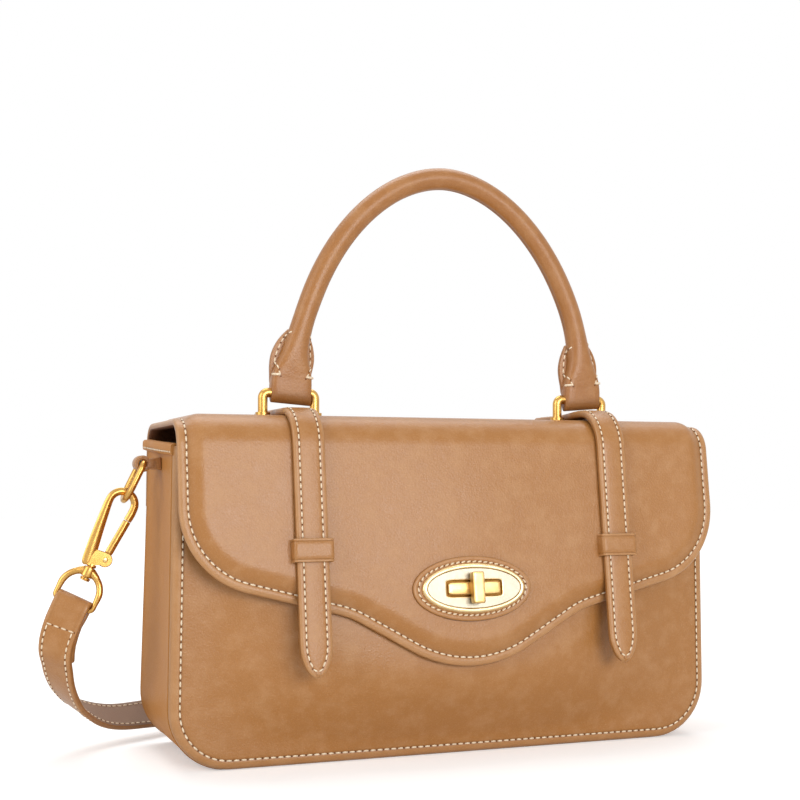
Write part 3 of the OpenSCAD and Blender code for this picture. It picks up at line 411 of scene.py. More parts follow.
print("satchel: materials")
camel = leatherMaterial("camelLeather", (162, 110, 57), (157, 105, 52), (208, 169, 128))
camelRolled = leatherMaterial("handleLeather", (160, 107, 56), (152, 99, 50), (202, 160, 116), coat=0.15)
# painted light: a lighter copy of the camel leather, with little sheen, for the gusset and rims
camelSideLit = leatherMaterial("sideLitLeather", (182, 124, 64), (175, 117, 58), (208, 166, 124),
                            rough=0.5, specular=0.1, coat=0.0)
underside = leatherMaterial("undersideLeather", (122, 78, 50), (104, 64, 40), (146, 100, 68), rough=0.6, coat=0.0)
strapInside = leatherMaterial("strapInnerSide", (146, 118, 98), (128, 100, 82), (168, 142, 122), rough=0.65, coat=0.0)
brass = metalMaterial("satinBrass", (212, 167, 95), (200, 152, 80), 0.26, brushed=0.0000015)
brightBrass = metalMaterial("brightBrass", (236, 206, 144), (228, 196, 128), 0.24, brushed=0.0000015)
rimBrass = metalMaterial("rimBrass", (244, 222, 174), (236, 210, 156), 0.3, brushed=0.000002)
# painted highlight: a pale, nearly neutral brass for the lock's field, so that it renders as a white highlight
fieldHighlightBrass = metalMaterial("fieldHighlightBrass", (184, 177, 160), (178, 170, 152), 0.45, brushed=0.000004)
brushedBrass = metalMaterial("brushedBrass", (230, 197, 136), (214, 176, 112), 0.34, brushed=0.000008,
                             scale=(260.0, 260.0, 1600.0))
# painted shade: dark brass for the fine groove round the lock's field and the gap round the seat
grooveShade = metalMaterial("grooveShadeLine", (132, 94, 46), (108, 74, 34), 0.5)
thread = threadMaterial("creamThread", (238, 222, 196), (212, 190, 158))
# painted shade: dark leather spots that stand for the shade in the needle holes
needleHoleShade = leatherMaterial("needleHoleShade", (122, 80, 46), (104, 66, 38), (136, 92, 56), rough=0.8, coat=0.0)
liningCloth = clothMaterial("liningCloth", (92, 66, 50), (64, 44, 34))
boardMaterial = clothMaterial("boardAndFiller", (150, 136, 112), (128, 114, 92))


print("satchel: studio")
studioSet = {
    "floorSize": 8.0, "floorDrop": 0.05, "floorColour": (0.86, 0.86, 0.86, 1), "floorLift": (0.34, 0.6),
    "liftReach": (0.3, 1.5), "worldFill": 0.48, "white": (1, 1, 1, 1), "target": (0, 0, 0.1),
}


def addLamp(name, place, size, energy):
    data = bpy.data.lights.new(name, "AREA")
    data.shape = "RECTANGLE"
    data.size, data.size_y = size
    data.energy = energy
    lamp = bpy.data.objects.new(name, data)
    lamp.location = place
    lamp.rotation_euler = (Vector(studioSet["target"]) - Vector(place)).to_track_quat("-Z", "Y").to_euler()
    scene.collection.objects.link(lamp)


addLamp("keyLamp", (0.22, -1.85, 0.52), (1.0, 0.6), 19)
addLamp("leftLamp", (-1.7, -0.5, 0.8), (1.0, 1.3), 12)
addLamp("topLamp", (0.1, 0.5, 1.6), (1.6, 0.9), 14)

# the surroundings are plain white to the eye and in reflections, and light the leather less
world = bpy.data.worlds.new("whiteSurroundings")
scene.world = world
tree = emptyTree(world)
paths = addNode(tree, "ShaderNodeLightPath", {}).outputs
seen = maths(tree, "ADD", paths["Is Camera Ray"], paths["Is Glossy Ray"], True)
seen = maths(tree, "ADD", seen, paths["Is Transmission Ray"], True)
filling, shown = (addNode(tree, "ShaderNodeBackground", {"Color": studioSet["white"], "Strength": strength}).outputs[0]
                  for strength in (studioSet["worldFill"], 1.0))
mixed = addNode(tree, "ShaderNodeMixShader", {0: seen, 1: filling, 2: shown}).outputs[0]
addNode(tree, "ShaderNodeOutputWorld", {0: mixed})

# the floor is lifted to white for the camera, more so further away
floorMaterial = bpy.data.materials.new("paleFloor")
tree = emptyTree(floorMaterial)
place = addNode(tree, "ShaderNodeTexCoord", {}).outputs["Object"]
distance = addNode(tree, "ShaderNodeVectorMath", {0: place}, operation="LENGTH").outputs["Value"]
rising = spread(tree, distance, *studioSet["liftReach"], *studioSet["floorLift"])
paths = addNode(tree, "ShaderNodeLightPath", {}).outputs
glow = addNode(tree, "ShaderNodeEmission", {"Strength": maths(tree, "MULTIPLY", paths["Is Camera Ray"], rising)})
matt = addNode(tree, "ShaderNodeBsdfDiffuse", {"Color": studioSet["floorColour"]})
both = addNode(tree, "ShaderNodeAddShader", {0: matt.outputs[0], 1: glow.outputs[0]})
addNode(tree, "ShaderNodeOutputMaterial", {0: both.outputs[0]})
half, low = studioSet["floorSize"] / 2 / mm, -studioSet["floorDrop"]
corners = [(-half, -half, low), (half, -half, low), (half, half, low), (-half, half, low)]
meshPiece("studioFloor", corners, [[0, 1, 2, 3]], floorMaterial, outward=False)


# a stitch row is thread and needle holes along a path of edges; the holes are small dark spots, painted shade

def makeStitchTree():
    tree = bpy.data.node_groups.new("stitchRow", "GeometryNodeTree")
    floats = {"Pitch": 0.0032, "Length": 0.0025, "Width": 0.0008, "Slant": 0.0}
    for label, kind in (("Path", "Geometry"), *((label, "Float") for label in floats),
                        ("Thread", "Material"), ("Hole", "Material")):
        socket = tree.interface.new_socket(label, in_out="INPUT", socket_type="NodeSocket" + kind)
        if label in floats:
            socket.default_value = floats[label]
    tree.interface.new_socket("Stitches", in_out="OUTPUT", socket_type="NodeSocketGeometry")
    given = tree.nodes.new("NodeGroupInput").outputs

    def add(kind, inputs, **settings):
        return addNode(tree, kind, inputs, **settings).outputs

    def share(label, part):
        return maths(tree, "MULTIPLY", given[label], part)

    curve = add("GeometryNodeMeshToCurve", {"Mesh": given["Path"]})["Curve"]
    even = add("GeometryNodeResampleCurve", {"Curve": curve, "Length": given["Pitch"]}, mode="LENGTH")["Curve"]
    up = add("GeometryNodeInputNamedAttribute", {"Name": "up"}, data_type="FLOAT_VECTOR")["Attribute"]
    ways = {"Primary Axis": up, "Secondary Axis": add("GeometryNodeInputTangent", {})["Tangent"]}
    straight = add("FunctionNodeAxesToRotation", ways, primary_axis="Z", secondary_axis="X")[0]
    slant = add("FunctionNodeEulerToRotation", {"Euler": add("ShaderNodeCombineXYZ", {"Z": given["Slant"]})[0]})[0]
    turns = {"Rotation": straight, "Rotate By": slant}
    slanted = add("FunctionNodeRotateRotation", turns, rotation_space="LOCAL")[0]
    together = addNode(tree, "GeometryNodeJoinGeometry", {})
    # label, rotation, shares of length, width and height, place along the pitch
    for label, rotation, long, wide, high, at in (("Thread", slanted, 0.5, 0.5, 0.42, 0.0),
                                                  ("Hole", straight, 0.14, 0.62, 0.2, 0.5)):
        ball = add("GeometryNodeMeshUVSphere", {"Segments": 8, "Rings": 6, "Radius": 1.0})["Mesh"]
        sizes = {"X": share("Length", long), "Y": share("Width", wide), "Z": share("Width", high)}
        size = add("ShaderNodeCombineXYZ", sizes)[0]
        moved = add("ShaderNodeCombineXYZ", {"X": share("Pitch", at)})[0]
        shape = add("GeometryNodeTransform", {"Geometry": ball, "Translation": moved, "Scale": size})[0]
        soft = add("GeometryNodeSetShadeSmooth", {"Geometry": shape})[0]
        spots = {"Points": even, "Instance": soft, "Rotation": rotation}
        copies = add("GeometryNodeInstanceOnPoints", spots)["Instances"]
        real = add("GeometryNodeRealizeInstances", {"Geometry": copies})[0]
        painted = add("GeometryNodeSetMaterial", {"Geometry": real, "Material": given[label]})[0]
        tree.links.new(painted, together.inputs[0])
    addNode(tree, "NodeGroupOutput", {0: together.outputs[0]})
    return tree


stitchTree = makeStitchTree()


def stitchPiece(name, rows, pitch=3.2, length=2.5, width=0.8, slant=0.0):
    # rows are lists of (point, outward direction) in millimetres
    verts, edges, ups = [], [], []
    for row in rows:
        for k, (point, up) in enumerate(row):
            if k:
                edges.append((len(verts) - 1, len(verts)))
            verts.append([c * mm for c in point])
            ups.append(unit(up))
    mesh = bpy.data.meshes.new(name + "Path")
    mesh.from_pydata(verts, edges, [])
    directions = mesh.attributes.new("up", "FLOAT_VECTOR", "POINT").data
    directions.foreach_set("vector", np.asarray(ups, np.float32).reshape(-1))
    path = makeObject(name, mesh)
    modifier = path.modifiers.new("stitchRow", "NODES")
    modifier.node_group = stitchTree
    values = {"Pitch": pitch * mm, "Length": length * mm, "Width": width * mm, "Slant": math.radians(slant),
              "Thread": thread, "Hole": needleHoleShade}
    for item in stitchTree.interface.items_tree:
        if item.item_type == "SOCKET" and item.in_out == "INPUT" and item.name in values:
            modifier[item.identifier] = values[item.name]
    return settle(path)


bodySet = {
    "width": 260, "depth": 76, "frontHeight": 137, "backHeight": 140.5, "taper": 2.5, "backLean": 12,
    "corner": 26, "leather": 2.4, "gussetLeather": 2.0, "frontSwell": 15, "backSwell": 5, "swellHalf": 128,
    "edgeRound": 3.2, "wrap": 5.0, "stitchIn": 4.2, "gussetSwell": 2.2, "rimHeight": 5, "rimThickness": 0.8,
    "rimSeam": 139, "rimSide": 135, "rimSwell": 130, "rimFlare": 1.2,
    "flapAway": 8, "flapFoot": 138, "flapLean": 7.75, "flapThick": 6.3,
}


def sideX(z):
    return bodySet["width"] / 2 - bodySet["taper"] * z / bodySet["frontHeight"]


def backY(z):
    return bodySet["depth"] / 2 - bodySet["backLean"] * z / bodySet["backHeight"]


def bodyPath(top, step=3.0):
    # from the top right down, under the base and up to the top left
    r, base, upper = bodySet["corner"], sideX(0), sideX(top)
    return evenPath(roundedPath([(upper, top, 0), (base, 0, r), (-base, 0, r), (-upper, top, 0)]), step)


def softLeast(a, b, softness=1.2):
    return -softness * np.log(np.exp(-a / softness) + np.exp(-b / softness))


def swellReach(x, z, middle, above, power):
    # 0 in the middle of a panel's swell, 1 at its edge
    upright = np.abs(z - middle) / np.where(z < middle, middle, above)
    return ((np.abs(x) / bodySet["swellHalf"]) ** power + upright ** power) ** (1 / power)


def frontSwell(x, z):
    # the swell keeps clear of the flap's plane
    reach = swellReach(x, z, 58, 80, 3.2)
    swell = bodySet["frontSwell"] * (1 - smooth((reach - 0.30) / 0.70))
    under = bodySet["flapAway"] + (bodySet["flapFoot"] - z) * math.tan(math.radians(bodySet["flapLean"]))
    return np.maximum(0, softLeast(swell, under - bodySet["flapThick"])) * smooth((1 - reach) / 0.25 + 0.02)


def backSwell(x, z):
    return bodySet["backSwell"] * (1 - smooth((swellReach(x, z, 55, 60, 3) - 0.2) / 0.8))


def panelY(x, z, side):
    # outer face of the front panel (side -1) or the back panel (side 1)
    return backY(z) + backSwell(x, z) if side > 0 else -bodySet["depth"] / 2 - frontSwell(x, z)


def bodyPanel(name, top, side):
    r, wrap = bodySet["edgeRound"], bodySet["wrap"]
    path = bodyPath(top)
    # inset, depth and tone: round the edge, over the pressed line of the seam, and on to the panel's middle; the tone
    # is painted shade where the edge turns into the seam and in the pressed line, and a painted highlight on the
    # rounded edge
    turn = [(0.0, wrap - 0.1, -0.35), (0.0, wrap - 0.4, -0.1), (0.0, wrap - 1.2, 0.0)]
    turn += [(r - r * math.cos(a), r - r * math.sin(a), 0.25) for a in np.linspace(0, math.pi / 2, 7)]
    turn += [(3.7, 0.0, 0.0), (4.0, 0.16, -0.5), (4.3, 0.22, -0.6), (4.7, 0.1, -0.3)]
    turn += [(inset, 0.0, 0.0) for inset in (5.6, 7.5, 10, 13)]
    rows = []
    for inset, deep, tone in turn:
        ring = insetPath(path, -inset)
        ring[0, 1] = ring[-1, 1] = top
        rows.append((ring, deep, tone))
    rows += [(ring * share + (1 - share) * np.array([0, top]), 0.0, 0.0) for share in np.linspace(1, 0, 34)[1:]]
    verts = [(x, panelY(x, z, side) - deep * side, z) for ring, deep, _ in rows for x, z in ring]
    tones = [tone * 0.6 for *_, tone in rows for _ in path]
    piece = meshPiece(name, verts, gridFaces(len(rows), len(path), flip=side < 0), camel, tones, outward=False)
    return thickened(piece, bodySet["leather"])


def thickened(piece, thickness):
    modifier = piece.modifiers.new("solidify", "SOLIDIFY")
    modifier.thickness, modifier.offset, modifier.use_even_offset = thickness * mm, -1, True
    return settle(piece)


def bodyStitches(top, side):
    ring = insetPath(bodyPath(top, 1.5), -bodySet["stitchIn"])
    return [((x, panelY(x, z, side) + 0.05 * side, z), (0, side, 0)) for x, z in ring if z <= top - 3]


def mouthLine(y):
    half, rise = bodySet["depth"] / 2, bodySet["backHeight"] - bodySet["frontHeight"]
    return bodySet["frontHeight"] + rise * (y + half) / (2 * half - bodySet["backLean"])


def betweenSeams(z, share):
    # y from the front seam (share 0) to the back seam (share 1) at height z
    y0, y1 = -bodySet["depth"] / 2 + bodySet["wrap"], backY(z) - bodySet["wrap"]
    return y0 + (y1 - y0) * share


def gussetSwell(z, share):
    upright = smooth((z - 6) / 40) * (1 - 0.5 * smooth((z - 90) / 50))
    return bodySet["gussetSwell"] * max(math.sin(math.pi * share), 0.0) ** 0.8 * upright


def gussetPiece():
    path = bodyPath(bodySet["frontHeight"] - 2, 3.0)
    normals = -leftOf(path)
    shares = [-0.012, 0.0, 0.012, 0.03, 0.06] + list(np.linspace(0.1, 0.9, 15)) + [0.94, 0.97, 0.988, 1.0, 1.012]
    rows, tones = [], []
    for share in shares:
        # the two edges are turned in under the panels, darker there as painted shade
        edge = min(share, 1 - share)
        sink, tone = (-0.35, -0.25) if edge < 0 else (-0.08, -0.1) if edge == 0 else (-0.02 if edge < 0.02 else 0, 0)
        for (x, z), n in zip(path, normals):
            y, out = betweenSeams(z, share), gussetSwell(z, share) + sink
            top = smooth((z - 128) / 7)
            height = z + top * (mouthLine(y) - bodySet["frontHeight"] + 2)
            rows.append((x + out * n[0], y, height + out * n[1] * (1 - top)))
            tones.append(tone)
    piece = meshPiece("gussetStrip", rows, gridFaces(len(shares), len(path)), camelSideLit, tones, outward=False)
    return thickened(piece, bodySet["gussetLeather"])


def rimPlace(share):
    # the gusset's upper edge: distance to the side, y, and how much wider the band is at the back corner
    side = sideX(bodySet["rimSide"]) + gussetSwell(bodySet["rimSwell"], min(max(share, 0), 1))
    return side, betweenSeams(bodySet["rimSeam"], share), bodySet["rimFlare"] * smooth((share - 0.8) / 0.25)


def rimPiece(side):
    # folded band over the gusset's edge
    band = bodySet["rimHeight"]
    stations = []
    for share in np.linspace(-0.045, 1.075, 33):
        x, y, flare = rimPlace(share)
        top = mouthLine(y) + 1.0
        outer, inner = bodySet["rimThickness"] + 0.2 + flare, -2.9
        ring = [(outer * 0.4, -band), (outer, -band + 0.5), (outer + 0.15, -band * 0.5), (outer, -0.9),
                (outer - 0.5, -0.25), (-0.6, 0.1), (-1.6, 0.1), (inner + 0.5, -0.25), (inner, -1.0), (inner, -band),
                (inner + 0.9, -band - 0.1)]
        stations.append([(side * (x + a), y, top + b) for a, b in ring])
    return loft(sided("rim", side), stations, camelSideLit, sharp=60)


def rimRow(side):
    row = []
    for share in np.linspace(0.0, 1.0, 30):
        x, y, flare = rimPlace(share)
        row.append(((side * (x + bodySet["rimThickness"] + 0.35 + flare), y, mouthLine(y) - 2.6), (side, 0, 0)))
    return row


print("satchel: body panels, gusset and rim")
bagFront = bodyPanel("bagFront", bodySet["frontHeight"], -1)
bagBack = bodyPanel("bagBack", bodySet["backHeight"], 1)
gussetStrip = gussetPiece()
rims = [rimPiece(-1), rimPiece(1)]
bodyRows = [bodyStitches(bodySet["frontHeight"], -1), bodyStitches(bodySet["backHeight"], 1), rimRow(-1), rimRow(1)]
bodyThread = stitchPiece("bodyThread", bodyRows)
for piece in (bagFront, bagBack, gussetStrip, *rims, bodyThread):
    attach(piece, "bag")
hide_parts("front_panel")
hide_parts("back_panel")
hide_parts("gusset")


# the flap is one sheet from the back panel over the top to the rounded front

flapSet = {
    "half": 127.5, "lean": 7.75, "top": 151.0, "frontRound": 15.0, "rearRound": 13.0, "frontY": -46.0, "sewn": 28.0,
    "outline": [(127.5, 0, 0), (127.5, -55, 37), (55, -74, 40), (0, -105.5, 56), (-55, -74, 40), (-127.5, -55, 37),
                (-127.5, 0, 0)],
    "offBack": 5.8, "splitY": -5.0, "stitchIn": 3.8, "stitchHeight": -2.5,
}
lean = math.radians(flapSet["lean"])
tilt = math.atan(bodySet["backLean"] / bodySet["backHeight"])
frontRound, rearRound = flapSet["frontRound"], flapSet["rearRound"]
frontBend = np.array([flapSet["frontY"] + frontRound * math.cos(lean), flapSet["top"] - frontRound])
rearZ = flapSet["top"] - rearRound
rearBend = np.array([backY(rearZ) + flapSet["offBack"] * math.cos(tilt) - rearRound / math.cos(tilt), rearZ])
# lengths from the sewn edge to the bends, the top, the seam between the two pieces, and the face
lengthRearBend = flapSet["sewn"]
lengthTop = lengthRearBend + rearRound * (math.pi / 2 - tilt)
lengthSplit = lengthTop + rearBend[0] - flapSet["splitY"]
lengthFrontBend = lengthTop + rearBend[0] - frontBend[0]
lengthFace = lengthFrontBend + frontRound * (math.pi / 2 - lean)


def facing(a):
    return np.array([math.cos(a), math.sin(a)])


def flapLine(t):
    # place and outward direction, in (y, z), of the flap's padded surface at length t from its sewn end
    if t < lengthRearBend:
        out = facing(tilt)
        return rearBend + rearRound * out + (lengthRearBend - t) * np.array([out[1], -out[0]]), out
    if t < lengthTop:
        out = facing(tilt + (t - lengthRearBend) / rearRound)
        return rearBend + rearRound * out, out
    if t < lengthFrontBend:
        return np.array([rearBend[0] - (t - lengthTop), flapSet["top"]]), np.array([0.0, 1.0])
    if t < lengthFace:
        out = facing(math.pi / 2 + (t - lengthFrontBend) / frontRound)
        return frontBend + frontRound * out, out
    out = facing(math.pi - lean)
    return frontBend + frontRound * out + (t - lengthFace) * np.array([-out[1], out[0]]), out


def onFlap(x, t, h):
    place, out = flapLine(t)
    return (x, place[0] + h * out[0], place[1] + h * out[1])


def flapOut(t):
    out = flapLine(t)[1]
    return (0.0, out[0], out[1])


# inset from the edge, height against the padded surface, tone; from the padded middle over the edge to the lining. The
# tone is painted shade down the slope into the stitched groove and under the edge, and a painted highlight on the
# rounded edge
flapEdge = [
    (11.5, 0.0, 0.0), (10.6, -0.05, 0.0), (9.6, -0.22, 0.0), (8.6, -0.52, 0.0), (7.6, -0.95, 0.0),
    (6.7, -1.42, 0.0), (5.9, -1.86, -0.05), (5.2, -2.2, -0.12), (4.6, -2.45, -0.22), (4.1, -2.62, -0.3),
    (3.7, -2.6, -0.25), (3.3, -2.46, 0.0), (2.7, -2.34, 0.08), (2.0, -2.32, 0.12), (1.3, -2.42, 0.18),
    (0.75, -2.62, 0.22), (0.35, -2.95, 0.22), (0.1, -3.4, 0.15), (0.0, -3.95, 0.0), (0.1, -4.5, -0.2),
    (0.45, -5.0, -0.3), (1.1, -5.35, -0.3), (2.2, -5.5, 0.0), (5.0, -5.45, 0.0), (8.0, -4.3, 0.0),
    (11.5, -3.1, 0.0),
]
liningFrom = 20


def flapRise(x, v):
    # gentle unevenness of the padded face, v is the distance down the face
    return 0.35 * math.sin(x / 31 + 0.7) * math.sin(v / 27 + 0.4) + 0.18 * math.sin(x / 13 + v / 19)


def flapFrontPiece():
    face = evenPath(roundedPath(flapSet["outline"], 20), 2.0)
    bend, top = np.linspace(lengthFace, lengthFrontBend, 19)[1:], np.linspace(lengthFrontBend, lengthSplit, 7)[1:]
    legs = np.concatenate([bend, top])[::-1]
    rings, tones, kinds = [], [], []

    def addRing(facePath, x, h, tone, kind, rise=0.0):
        # down one side, round the face and up the other side
        ring = [(x, t) for t in legs] + [(px, lengthFace - pv) for px, pv in facePath] + [(-x, t) for t in legs[::-1]]
        lifts = [flapRise(px, t - lengthFace) * min(1, max(0, (t - lengthFace) / 20)) * rise for px, t in ring]
        rings.append([onFlap(px, t, h + lift) for (px, t), lift in zip(ring, lifts)])
        tones.extend([tone] * len(ring))
        kinds.append(kind)

    def faceRing(inset):
        ring = insetPath(face, -inset)
        ring[0, 1] = ring[-1, 1] = 0
        return ring

    padIn = flapEdge[0][0]
    inner, innerHalf = faceRing(padIn), flapSet["half"] - padIn
    for s in np.linspace(0, 1, 30)[:-1] ** 0.9:
        addRing(inner * s, innerHalf * s, 0.0, 0.0, 0, 1 - smooth((s - 0.8) / 0.2))
    for k, (inset, h, tone) in enumerate(flapEdge):
        addRing(faceRing(inset), flapSet["half"] - inset, h, tone, 1 if k >= liningFrom else 0)
    for s in np.linspace(1, 0, 9)[1:]:
        addRing(inner * s, innerHalf * s, -3.0, 0.0, 1)
    count = len(rings[0])
    starts = [k * count for k in range(len(rings))]
    end = starts + [start + count - 1 for start in starts[-2:0:-1]]
    faces = gridFaces(len(rings), count) + [end]
    faceKinds = [kind for kind in kinds[:-1] for _ in range(count - 1)] + [1]
    verts = [p for ring in rings for p in ring]
    return meshPiece("flapFront", verts, faces, [camel, underside], tones, kinds=faceKinds, sharp=60)


def flapRearPiece():
    stations, tones = [], []
    rows = np.concatenate([[0.0, 0.3, 1.0], np.linspace(2.5, lengthRearBend, 9),
                           np.linspace(lengthRearBend, lengthTop, 15)[1:], np.linspace(lengthTop, lengthSplit, 6)[1:]])
    for t in rows:
        # the sewn end is pressed flat, and thinner at its edge
        flat = 1 - smooth((t - 12) / 18)
        thin = {0.0: 1.0, 0.3: 0.5, 1.0: 0.15}.get(float(t), 0.0)
        section = []
        for inset, h, tone in flapEdge:
            if h > -2.5:
                h -= (h + 2.5) * flat
            elif h < -3.95 and inset > 2:
                h -= (h + 5.5) * flat
            section.append((flapSet["half"] - inset, h + (-4 - h) * thin * 0.8, tone))
        ring = mirrored(section)
        stations.append([onFlap(x, t, h) for x, h, _ in ring])
        tones += [tone for *_, tone in ring]
    rowCount, columns = len(stations), len(stations[0])
    faces = gridFaces(rowCount, columns, wrap=True)
    faces += [[base + k for k in range(columns)] for base in (0, (rowCount - 1) * columns)]
    band = [1 if liningFrom <= c < columns - liningFrom - 1 else 0 for c in range(columns)]
    verts = [p for ring in stations for p in ring]
    kinds = band * (rowCount - 1) + [1, 1]
    return meshPiece("flapRear", verts, faces, [camel, underside], tones, kinds=kinds, sharp=60)


def flapRow(x, lengths):
    # stitches down one side of the flap
    return [(onFlap(x, t, flapSet["stitchHeight"]), flapOut(t)) for t in lengths]


print("satchel: flap")
flapFront = flapFrontPiece()
flapRear = flapRearPiece()
edgeX = flapSet["half"] - flapSet["stitchIn"]
sideLegs = np.linspace(lengthSplit, lengthFace, 50)[:-1]
ring = insetPath(evenPath(roundedPath(flapSet["outline"], 20), 1.2), -flapSet["stitchIn"])
row = flapRow(edgeX, sideLegs)
row += [(onFlap(x, lengthFace - v, flapSet["stitchHeight"]), flapOut(lengthFace)) for x, v in ring if v < -0.5]
row += flapRow(-edgeX, sideLegs[::-1])
flapFrontThread = stitchPiece("flapFrontThread", [row])
rearLegs = np.linspace(4, lengthSplit, 50)
rearRows = [flapRow(side * edgeX, rearLegs) for side in (-1, 1)]
rearRows.append([(onFlap(x, 4, flapSet["stitchHeight"] + 0.1), flapOut(0)) for x in np.linspace(-edgeX, edgeX, 60)])
flapRearThread = stitchPiece("flapRearThread", rearRows)

for piece in (flapFront, flapFrontThread):
    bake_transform(piece)
for piece in (flapRear, flapRearThread):
    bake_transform(piece)
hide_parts("flap_front_section", "flap_front_bend")
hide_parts("flap_back_section", "flap_rear_bend", "flap_top_section")


strapSet = {
    "x": 72.5, "width": 14.0, "thickness": 3.0, "gap": 0.25, "tip": 99.0, "tipLength": 14.0, "end": 18.6,
    "stitchIn": 2.5, "arch": (0.0, 1.4),
}
strapStart = lengthTop + rearBend[0] - strapSet["end"]
strapEnd = lengthFace + strapSet["tip"]


def strapHalf(t):
    left = strapEnd - t
    if left >= strapSet["tipLength"]:
        return strapSet["width"] / 2
    share = 1 - max(left, 0) / strapSet["tipLength"]
    return strapSet["width"] / 2 * max(0, 1 - share ** 2) ** 0.62


def onStrap(side, x, t, h):
    # the right strap arches over the front of the top, under the handle's bridge
    arch = strapSet["arch"][side > 0] * math.exp(-((t - lengthFrontBend + 2) / 14) ** 2)
    return onFlap(side * strapSet["x"] + x, t, h + arch)


def strapPiece(side):
    tipRows = [strapEnd - strapSet["tipLength"] * (1 - math.sin(a)) for a in np.linspace(0, math.pi / 2, 15)]
    rows = np.concatenate([[strapStart, strapStart + 0.4, strapStart + 1.2],
                           np.linspace(strapStart + 3, lengthFrontBend, 12),
                           np.linspace(lengthFrontBend, lengthFace, 15)[1:],
                           np.linspace(lengthFace, tipRows[0], 24)[1:], tipRows[1:]])
    low = strapSet["gap"]
    high = low + strapSet["thickness"]
    middle = (low + high) / 2
    # inset, height and tone, from the inner side of the pressed line over the edge to the underside; the tone is
    # painted shade in the pressed line and down the side, and a painted highlight on the rounded top edge
    edge = [(4.2, high + 0.22, 0), (3.3, high + 0.1, 0), (2.85, high - 0.02, -0.15), (2.5, high - 0.1, -0.25),
            (2.15, high - 0.02, -0.1), (1.6, high + 0.04, 0.05), (0.9, high - 0.03, 0.12), (0.45, high - 0.22, 0.2),
            (0.12, high - 0.6, 0.2), (0, high - 1.1, -0.1), (0.02, low + 1.2, -0.25), (0.15, low + 0.4, -0.35),
            (0.5, low, -0.3)]
    stations, tones = [], []
    for k, t in enumerate(rows):
        w = max(strapHalf(t), 0.05)
        thin = max((0.6, 0.2)[k] if k < 2 else 0, (1 - smooth((strapEnd - t) / 1.5)) * 0.75)
        ring = mirrored([(w - inset if w > inset else w * 0.2, h, tone) for inset, h, tone in edge])
        stations.append([onStrap(side, x, t, h + (middle - h) * thin) for x, h, _ in ring])
        tones.append([tone for *_, tone in ring])
    return loft(sided("strap", side), stations, camel, tones, sharp=60)


def strapRow(side):
    # one row down one edge, round the point and up the other
    inset = strapSet["stitchIn"]
    top = strapSet["gap"] + strapSet["thickness"] + 0.02
    outline = [(strapHalf(t), t) for t in np.linspace(strapStart + 4, strapEnd, 260)]
    path = evenPath(outline + [(-x, t) for x, t in outline[-2::-1]], 0.8)
    kept = [p for p, q in zip(insetPath(path, inset), path)
            if p[1] < strapEnd - inset * 1.35 and (p[0] > 0.0) == (q[0] > 0) and abs(p[0]) > 0.05]
    right, left = (sorted((p for p in kept if p[0] * way > 0), key=lambda p: p[1]) for way in (1, -1))
    point = (0.0, right[-1][1] + right[-1][0])
    return [(onStrap(side, x, t, top), flapOut(t)) for x, t in (*right, point, *left[::-1])]


print("satchel: front straps and keepers")
frontStraps = [strapPiece(-1), strapPiece(1)]
strapThreads = [stitchPiece(sided("strapThread", side), [strapRow(side)], pitch=3.0, length=2.35, width=0.75)
                for side in (-1, 1)]
for piece in frontStraps + strapThreads:
    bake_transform(piece)
for piece, label in zip(frontStraps, ("left", "right")):
    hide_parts("strap_top_" + label, "strap_bend_" + label, "strap_front_" + label)

keeperSet = {"drop": 45.5, "height": 10.0, "wide": 17.6, "high": 5.15, "thickness": 1.5}


def keeperPiece(side):
    # a band across the strap: rounded loop section, swept down the face, with a fine crease near each edge
    half, high = keeperSet["wide"] / 2, keeperSet["high"]
    outer, inner = (evenPath(roundedPath([(half - inset, -0.6, 0), (half - inset, high - inset, r),
                                          (inset - half, high - inset, r), (inset - half, -0.6, 0)], 8), 0.7)
                    for inset, r in ((0, 1.5), (keeperSet["thickness"], 0.6)))
    inner = evenPath(inner, runOf(inner)[-1] / (len(outer) - 1))[:len(outer)]
    inner = np.vstack([inner, *[inner[-1:]] * (len(outer) - len(inner))])
    out = -leftOf(outer)
    h = keeperSet["height"] / 2
    # distance down the face, height over the outer line, tone; the tone is painted shade under the edges, in the crease
    # and inside the loop, and a painted highlight on the rounded edges
    edge = [(-h + 0.5, -1.4, -0.3), (-h + 0.15, -0.9, -0.2), (-h, -0.45, 0.1), (-h + 0.12, -0.12, 0.25),
            (-h + 0.45, 0.0, 0.2), (-h + 0.95, 0.0, 0), (-h + 1.2, -0.14, -0.45), (-h + 1.45, 0.0, 0),
            (-h + 3, 0.04, 0)]
    loops = [(v, outer + out * o if o > -1.3 else (outer + inner) / 2 + (inner - outer) * 0.3, tone)
             for v, o, tone in edge + [(0, 0.06, 0)] + [(-v, o, tone) for v, o, tone in edge[::-1]]]
    loops += [(v, inner, -0.3) for v in (h - 0.5, 0, -h + 0.5)]
    loops.append(loops[0])
    top = lengthFace + keeperSet["drop"]
    verts = [onFlap(side * strapSet["x"] + x, top + v, max(y, 0.0)) for v, path, _ in loops for x, y in path]
    tones = [tone for *_, tone in loops for _ in outer]
    return meshPiece(sided("keeper", side), verts, gridFaces(len(loops), len(outer)), camel, tones, sharp=50)


for side, label in ((-1, "left"), (1, "right")):
    keeper = keeperPiece(side)
    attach(keeper, "flap_front")
    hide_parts("keeper_" + label)


# handle: one rolled cover that widens into a foot round each bridge bar, with wings sewn behind it

handleSet = {
    "halfSpan": 72.5, "rise": 101.0, "power": 1.06, "barZ": 161.5, "barY": -17.0, "leastTilt": 4.5, "footHigh": 34,
    "rollRound": 5, "coreRound": 3.3, "wingFront": 1.2, "wingBack": 3.8, "wingStitchIn": 2.0, "tackHeight": 7.4,
    "aside": 0.7, "lean": 1.7,
}
